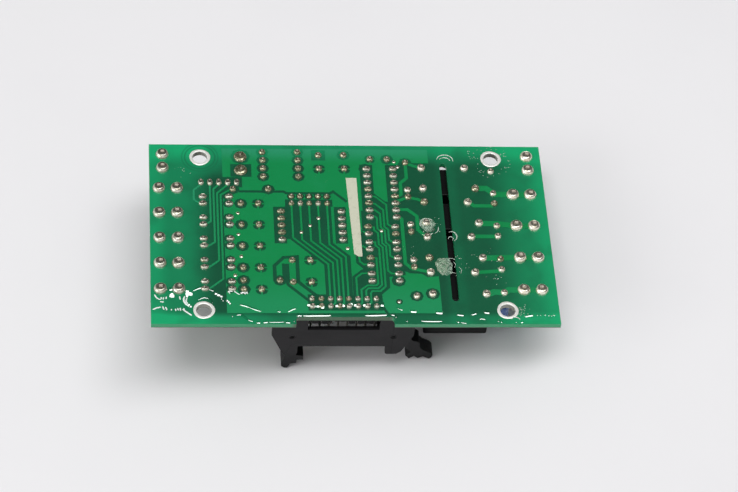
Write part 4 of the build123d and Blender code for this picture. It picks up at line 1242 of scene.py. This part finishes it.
class RELAYBOARD_OT_relays(bpy.types.Operator):
    """Four relays hanging under the slot"""
    bl_idname = PREFIX + ".relays"
    bl_label = "Relays"
    bl_options = {"REGISTER", "UNDO"}

    def execute(self, context):
        dressed("relay_cases", "relays", relay_case, 0.35)
        return {"FINISHED"}


class RELAYBOARD_OT_varistors(bpy.types.Operator):
    """Dipped disc varistors"""
    bl_idname = PREFIX + ".varistors"
    bl_label = "Varistors"
    bl_options = {"REGISTER", "UNDO"}

    def execute(self, context):
        dressed("dipped_varistors", "varistors", varistor_coat, 0.3, angle=20.0)
        return {"FINISHED"}


# Outlines along an axial part: share of its length, share of its radius, and which finish follows
RESISTOR_BODY = (
    (0.0, 0.35, 0), (0.03, 0.8, 0), (0.08, 0.97, 0), (0.2, 1.0, 1), (0.27, 0.93, 0),
    (0.34, 0.92, 2), (0.42, 0.92, 0), (0.5, 0.92, 3), (0.58, 0.92, 0), (0.66, 0.92, 0),
    (0.74, 0.93, 4), (0.8, 1.0, 0), (0.92, 0.97, 0), (0.97, 0.8, 0), (1.0, 0.35, 0),
)
DIODE_BODY = ((0.0, 0.86, 0), (0.05, 1.0, 0), (0.14, 1.0, 1), (0.26, 1.0, 0), (0.95, 1.0, 0), (1.0, 0.86, 0))


def axial_bodies(name, node, axis, outline, makers, smooth):
    """Turned bodies of a node's axial parts, which lie along X or Y."""
    bm = bmesh.new()
    along = "XY".index(axis)
    for low, high in solids(node):
        start = (low + high) / 2
        start[along] = low[along]
        radius = (high.z - low.z) / 2
        length = high[along] - low[along]
        profile = [(radius * wide, length * far) for far, wide, _ in outline]
        turned(bm, start, profile, 28, axis, materials=[skin for _, _, skin in outline])
    placed(name, bm, makers, "board", [node], smooth=smooth)


class RELAYBOARD_OT_axials(bpy.types.Operator):
    """Axial diodes and resistors with their bent wires"""
    bl_idname = PREFIX + ".axials"
    bl_label = "Axial parts"
    bl_options = {"REGISTER", "UNDO"}

    def execute(self, context):
        dark = [black_epoxy, pale_mark]
        axial_bodies("flyback_bodies", "flyback_diodes", "Y", DIODE_BODY, dark, 30.0)
        axial_bodies("rectifier_bodies", "rectifier_diodes", "X", DIODE_BODY, dark, 30.0)
        banded = [resistor_coat, band_brown, band_black, band_red, band_gold]
        axial_bodies(
            "resistor_bodies", "axial_resistors", "X", RESISTOR_BODY, banded, 50.0
        )
        for name, node in (
            ("flyback_leads", "flyback_wires"),
            ("rectifier_leads", "rectifier_wires"),
            ("resistor_leads", "resistor_wires"),
        ):
            dressed(name, node, tinned_wire, 0.22)
        return {"FINISHED"}


class RELAYBOARD_OT_blades(bpy.types.Operator):
    """Quick-connect blades"""
    bl_idname = PREFIX + ".blades"
    bl_label = "Blades"
    bl_options = {"REGISTER", "UNDO"}

    def execute(self, context):
        dressed("input_blade_row", "input_blades", tinned_brass, 0.12)
        dressed("output_blade_row", "output_blades", tinned_brass, 0.12)
        return {"FINISHED"}


class RELAYBOARD_OT_chips(bpy.types.Operator):
    """Couplers and driver chip with their leads"""
    bl_idname = PREFIX + ".chips"
    bl_label = "Chips"
    bl_options = {"REGISTER", "UNDO"}

    def execute(self, context):
        bodies = ("input_couplers", "output_couplers", "driver_chip")
        for name, node in zip(("input_coupler_bodies", "output_coupler_bodies", "driver_body"), bodies):
            dressed(name, node, black_epoxy, 0.12)
        dressed("coupler_lead_frames", "coupler_leads", tinned_wire, 0.08)
        dressed("driver_lead_frame", "driver_leads", tinned_wire, 0.08)
        bm = bmesh.new()
        profile = [(0.42 * MM, -0.02 * MM), (0.42 * MM, 0.0), (0.36 * MM, 0.05 * MM)]
        for node in bodies:
            for low, high in solids(node):
                turned(bm, Vector((low.x + 1.5 * MM, high.y - 1.2 * MM, low.z)), profile, 16)
        placed("first_pin_dots", bm, [pale_mark], "board")
        return {"FINISHED"}


# Outline of a can in millimetres: how far it draws in, and how far below its top or above its foot
CAN_GROOVE = ((0.0, 0.3), (0.0, 0.85), (0.18, 1.15), (0.3, 1.5), (0.18, 1.85), (0.0, 2.15))
CAN_FOOT = ((0.0, 0.6), (0.08, 0.25), (0.35, 0.04), (0.8, 0.0), (1.05, 0.1), (1.2, 0.12))


class RELAYBOARD_OT_cans(bpy.types.Operator):
    """Aluminium capacitors in their sleeves"""
    bl_idname = PREFIX + ".cans"
    bl_label = "Can capacitors"
    bl_options = {"REGISTER", "UNDO"}

    def execute(self, context):
        for name, node in (
            ("reservoir_can", "reservoir_capacitor"),
            ("smoothing_can", "smoothing_capacitor"),
        ):
            low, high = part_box(node)
            centre = (low + high) / 2
            radius = (high.x - low.x) / 2
            depth = high.z - low.z
            origin = Vector((centre.x, centre.y, high.z))
            profile = [(radius * 0.9, 0), (radius * 0.97, -0.1 * MM)]
            profile += [(radius - inset * MM, -down * MM) for inset, down in CAN_GROOVE]
            profile += [(radius - inset * MM, up * MM - depth) for inset, up in CAN_FOOT]
            profile += [(0.3 * MM, 0.12 * MM - depth)]
            bm = bmesh.new()
            turned(bm, origin, profile, 48, materials=[0] * 12 + [1, 1, 1])
            for face in bm.faces:
                middle = face.calc_center_median() - origin
                on_stripe = abs(atan2(middle.y, middle.x)) < 0.42 and middle.z < -2.2 * MM
                if face.material_index == 0 and on_stripe:
                    face.material_index = 2
            for n in range(2):
                turn = Matrix.Rotation(pi / 2 * n + pi / 4, 4, "Z")
                size = Vector((radius * 0.62, 0.11 * MM, 0.05 * MM))
                corners = len(bm.verts)
                block(bm, -size, size, 1)
                bm.verts.ensure_lookup_table()
                for vert in bm.verts[corners:]:
                    vert.co = turn @ vert.co + origin + Vector((0, 0, 0.12 * MM - depth))
            placed(name, bm, [can_sleeve, bare_aluminium, can_stripe], "board", [node])
        return {"FINISHED"}


class RELAYBOARD_OT_small_capacitors(bpy.types.Operator):
    """Boxed film capacitor and dipped ceramic capacitors"""
    bl_idname = PREFIX + ".small_capacitors"
    bl_label = "Small capacitors"
    bl_options = {"REGISTER", "UNDO"}

    def execute(self, context):
        dressed("film_box", "film_capacitor", film_case, 0.25)
        dressed("dipped_ceramics", "ceramic_capacitors", ceramic_coat, 0.7, segments=5)
        return {"FINISHED"}


class RELAYBOARD_OT_networks(bpy.types.Operator):
    """Single-row resistor networks"""
    bl_idname = PREFIX + ".networks"
    bl_label = "Resistor networks"
    bl_options = {"REGISTER", "UNDO"}

    def execute(self, context):
        dressed("network_bodies", "resistor_networks", network_coat, 0.3, segments=4)
        return {"FINISHED"}


class RELAYBOARD_OT_jumper(bpy.types.Operator):
    """Two-row jumper pin header"""
    bl_idname = PREFIX + ".jumper"
    bl_label = "Jumper header"
    bl_options = {"REGISTER", "UNDO"}

    def execute(self, context):
        dressed("jumper_base", "jumper_block", black_plastic, 0.12)
        dressed("jumper_posts", "jumper_pins", tinned_wire, 0.1)
        return {"FINISHED"}


class RELAYBOARD_OT_header(bpy.types.Operator):
    """Ribbon header housing and contacts"""
    bl_idname = PREFIX + ".header"
    bl_label = "Ribbon header"
    bl_options = {"REGISTER", "UNDO"}

    def execute(self, context):
        dressed("ribbon_housing", "header_housing", black_plastic, 0.18)
        dressed("ribbon_contacts", "header_contacts", tinned_wire, 0.12)
        return {"FINISHED"}


class RELAYBOARD_OT_latches(bpy.types.Operator):
    """Two ejector latches of the ribbon header"""
    bl_idname = PREFIX + ".latches"
    bl_label = "Ejector latches"
    bl_options = {"REGISTER", "UNDO"}

    def execute(self, context):
        dressed("ejector_left", "latch_left", latch_plastic, 0.16, body="left_latch")
        dressed("ejector_right", "latch_right", latch_plastic, 0.16, body="right_latch")
        return {"FINISHED"}


def resting_plane():
    """Level at the origin and rise along X and Y of the table, which meets both latches and a part behind."""
    left, right = (
        min((vert.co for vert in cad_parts[node].data.vertices), key=lambda place: place.z)
        for node in ("latch_left", "latch_right")
    )
    rise_x = (right.z - left.z) / (right.x - left.x)
    rises = []
    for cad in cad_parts.values():
        for vert in cad.data.vertices:
            behind = vert.co.y - left.y
            if behind > 5 * MM:
                rises.append((vert.co.z - left.z - rise_x * (vert.co.x - left.x)) / behind)
    rise_y = min(rises)
    return left.z - rise_x * left.x - rise_y * left.y, rise_x, rise_y


# Each softbox: name, the setting that holds its power, width, depth and place
SOFTBOXES = (
    ("overhead_softbox", "lamp_power", 1.25, 0.5, (0.04, -0.13, 1.12)),
    ("side_softbox", "fill_power", 0.7, 0.4, (-0.9, -0.45, 0.36)),
)
FLOOR_REACH = 4.0
FOCAL_LENGTH = 132.8312195
CAMERA_PLACE = (-0.07165686, -0.48023609, 0.59320225)
CAMERA_TURN = (38.836587, -4.599222, -3.442868)


class RELAYBOARD_OT_stage(bpy.types.Operator):
    """Floor, lamps, world and camera"""
    bl_idname = PREFIX + ".stage"
    bl_label = "Stage"
    bl_options = {"REGISTER", "UNDO"}

    def execute(self, context):
        scene = bpy.context.scene
        level, rise_x, rise_y = resting_plane()
        mesh = bpy.data.meshes.new("floor")
        corners = [(x * FLOOR_REACH, y * FLOOR_REACH) for x, y in ((-1, -1), (1, -1), (1, 1), (-1, 1))]
        points = [(x, y, level + x * rise_x + y * rise_y) for x, y in corners]
        mesh.from_pydata(points, [], [(0, 1, 2, 3)])
        floor = bpy.data.objects.new("floor", mesh)
        scene.collection.objects.link(floor)
        wear(floor, floor_paper)

        stage = scene.relay_board_stage
        for name, power, width, depth, place in SOFTBOXES:
            lamp = bpy.data.lights.new(name, "AREA")
            lamp.shape = "RECTANGLE"
            lamp.size = width
            lamp.size_y = depth
            lamp.energy = getattr(stage, power)
            holder = bpy.data.objects.new(name, lamp)
            holder.location = place
            holder.rotation_euler = Vector(place).to_track_quat("Z", "Y").to_euler()
            scene.collection.objects.link(holder)

        world = bpy.data.worlds.new("studio")
        scene.world = world
        surroundings(Graph(world), stage.ambient)

        lens = bpy.data.cameras.new("camera")
        lens.sensor_width = 36
        lens.lens = FOCAL_LENGTH
        lens.clip_start = 0.01
        camera = bpy.data.objects.new("camera", lens)
        camera.location = CAMERA_PLACE
        camera.rotation_euler = [radians(turn) for turn in CAMERA_TURN]
        scene.collection.objects.link(camera)
        scene.camera = camera
        scene.view_settings.view_transform = "Standard"
        return {"FINISHED"}


OPERATORS = (
    RELAYBOARD_OT_laminate,
    RELAYBOARD_OT_copper,
    RELAYBOARD_OT_rings,
    RELAYBOARD_OT_tab_joints,
    RELAYBOARD_OT_lead_joints,
    RELAYBOARD_OT_chip_joints,
    RELAYBOARD_OT_vias,
    RELAYBOARD_OT_coating,
    RELAYBOARD_OT_marking,
    RELAYBOARD_OT_residue,
    RELAYBOARD_OT_relays,
    RELAYBOARD_OT_varistors,
    RELAYBOARD_OT_axials,
    RELAYBOARD_OT_blades,
    RELAYBOARD_OT_chips,
    RELAYBOARD_OT_cans,
    RELAYBOARD_OT_small_capacitors,
    RELAYBOARD_OT_networks,
    RELAYBOARD_OT_jumper,
    RELAYBOARD_OT_header,
    RELAYBOARD_OT_latches,
    RELAYBOARD_OT_stage,
)


class RELAYBOARD_PT_parts(bpy.types.Panel):
    """Parts of the relay board"""
    bl_label = "Relay board"
    bl_idname = "RELAYBOARD_PT_parts"
    bl_space_type = "VIEW_3D"
    bl_region_type = "UI"
    bl_category = "Relay board"

    def draw(self, context):
        for group in (
            context.scene.relay_board_sizes,
            context.scene.relay_board_colours,
            context.scene.relay_board_stage,
        ):
            for key in group.bl_rna.properties.keys():
                if key not in ("rna_type", "name"):
                    self.layout.prop(group, key)
        for operator in OPERATORS:
            self.layout.operator(operator.bl_idname)


SETTINGS = (
    ("relay_board_sizes", RelayBoardSizes),
    ("relay_board_colours", RelayBoardColours),
    ("relay_board_stage", RelayBoardStage),
)


def register():
    for name, group in SETTINGS:
        bpy.utils.register_class(group)
        setattr(bpy.types.Scene, name, bpy.props.PointerProperty(type=group))
    for operator in OPERATORS:
        bpy.utils.register_class(operator)
    bpy.utils.register_class(RELAYBOARD_PT_parts)


def unregister():
    bpy.utils.unregister_class(RELAYBOARD_PT_parts)
    for operator in reversed(OPERATORS):
        bpy.utils.unregister_class(operator)
    for name, group in reversed(SETTINGS):
        delattr(bpy.types.Scene, name)
        bpy.utils.unregister_class(group)


def main():
    register()
    for operator in OPERATORS:
        getattr(bpy.ops.relay_board, operator.bl_idname.split(".")[1])()


if __name__ == "__main__":
    main()
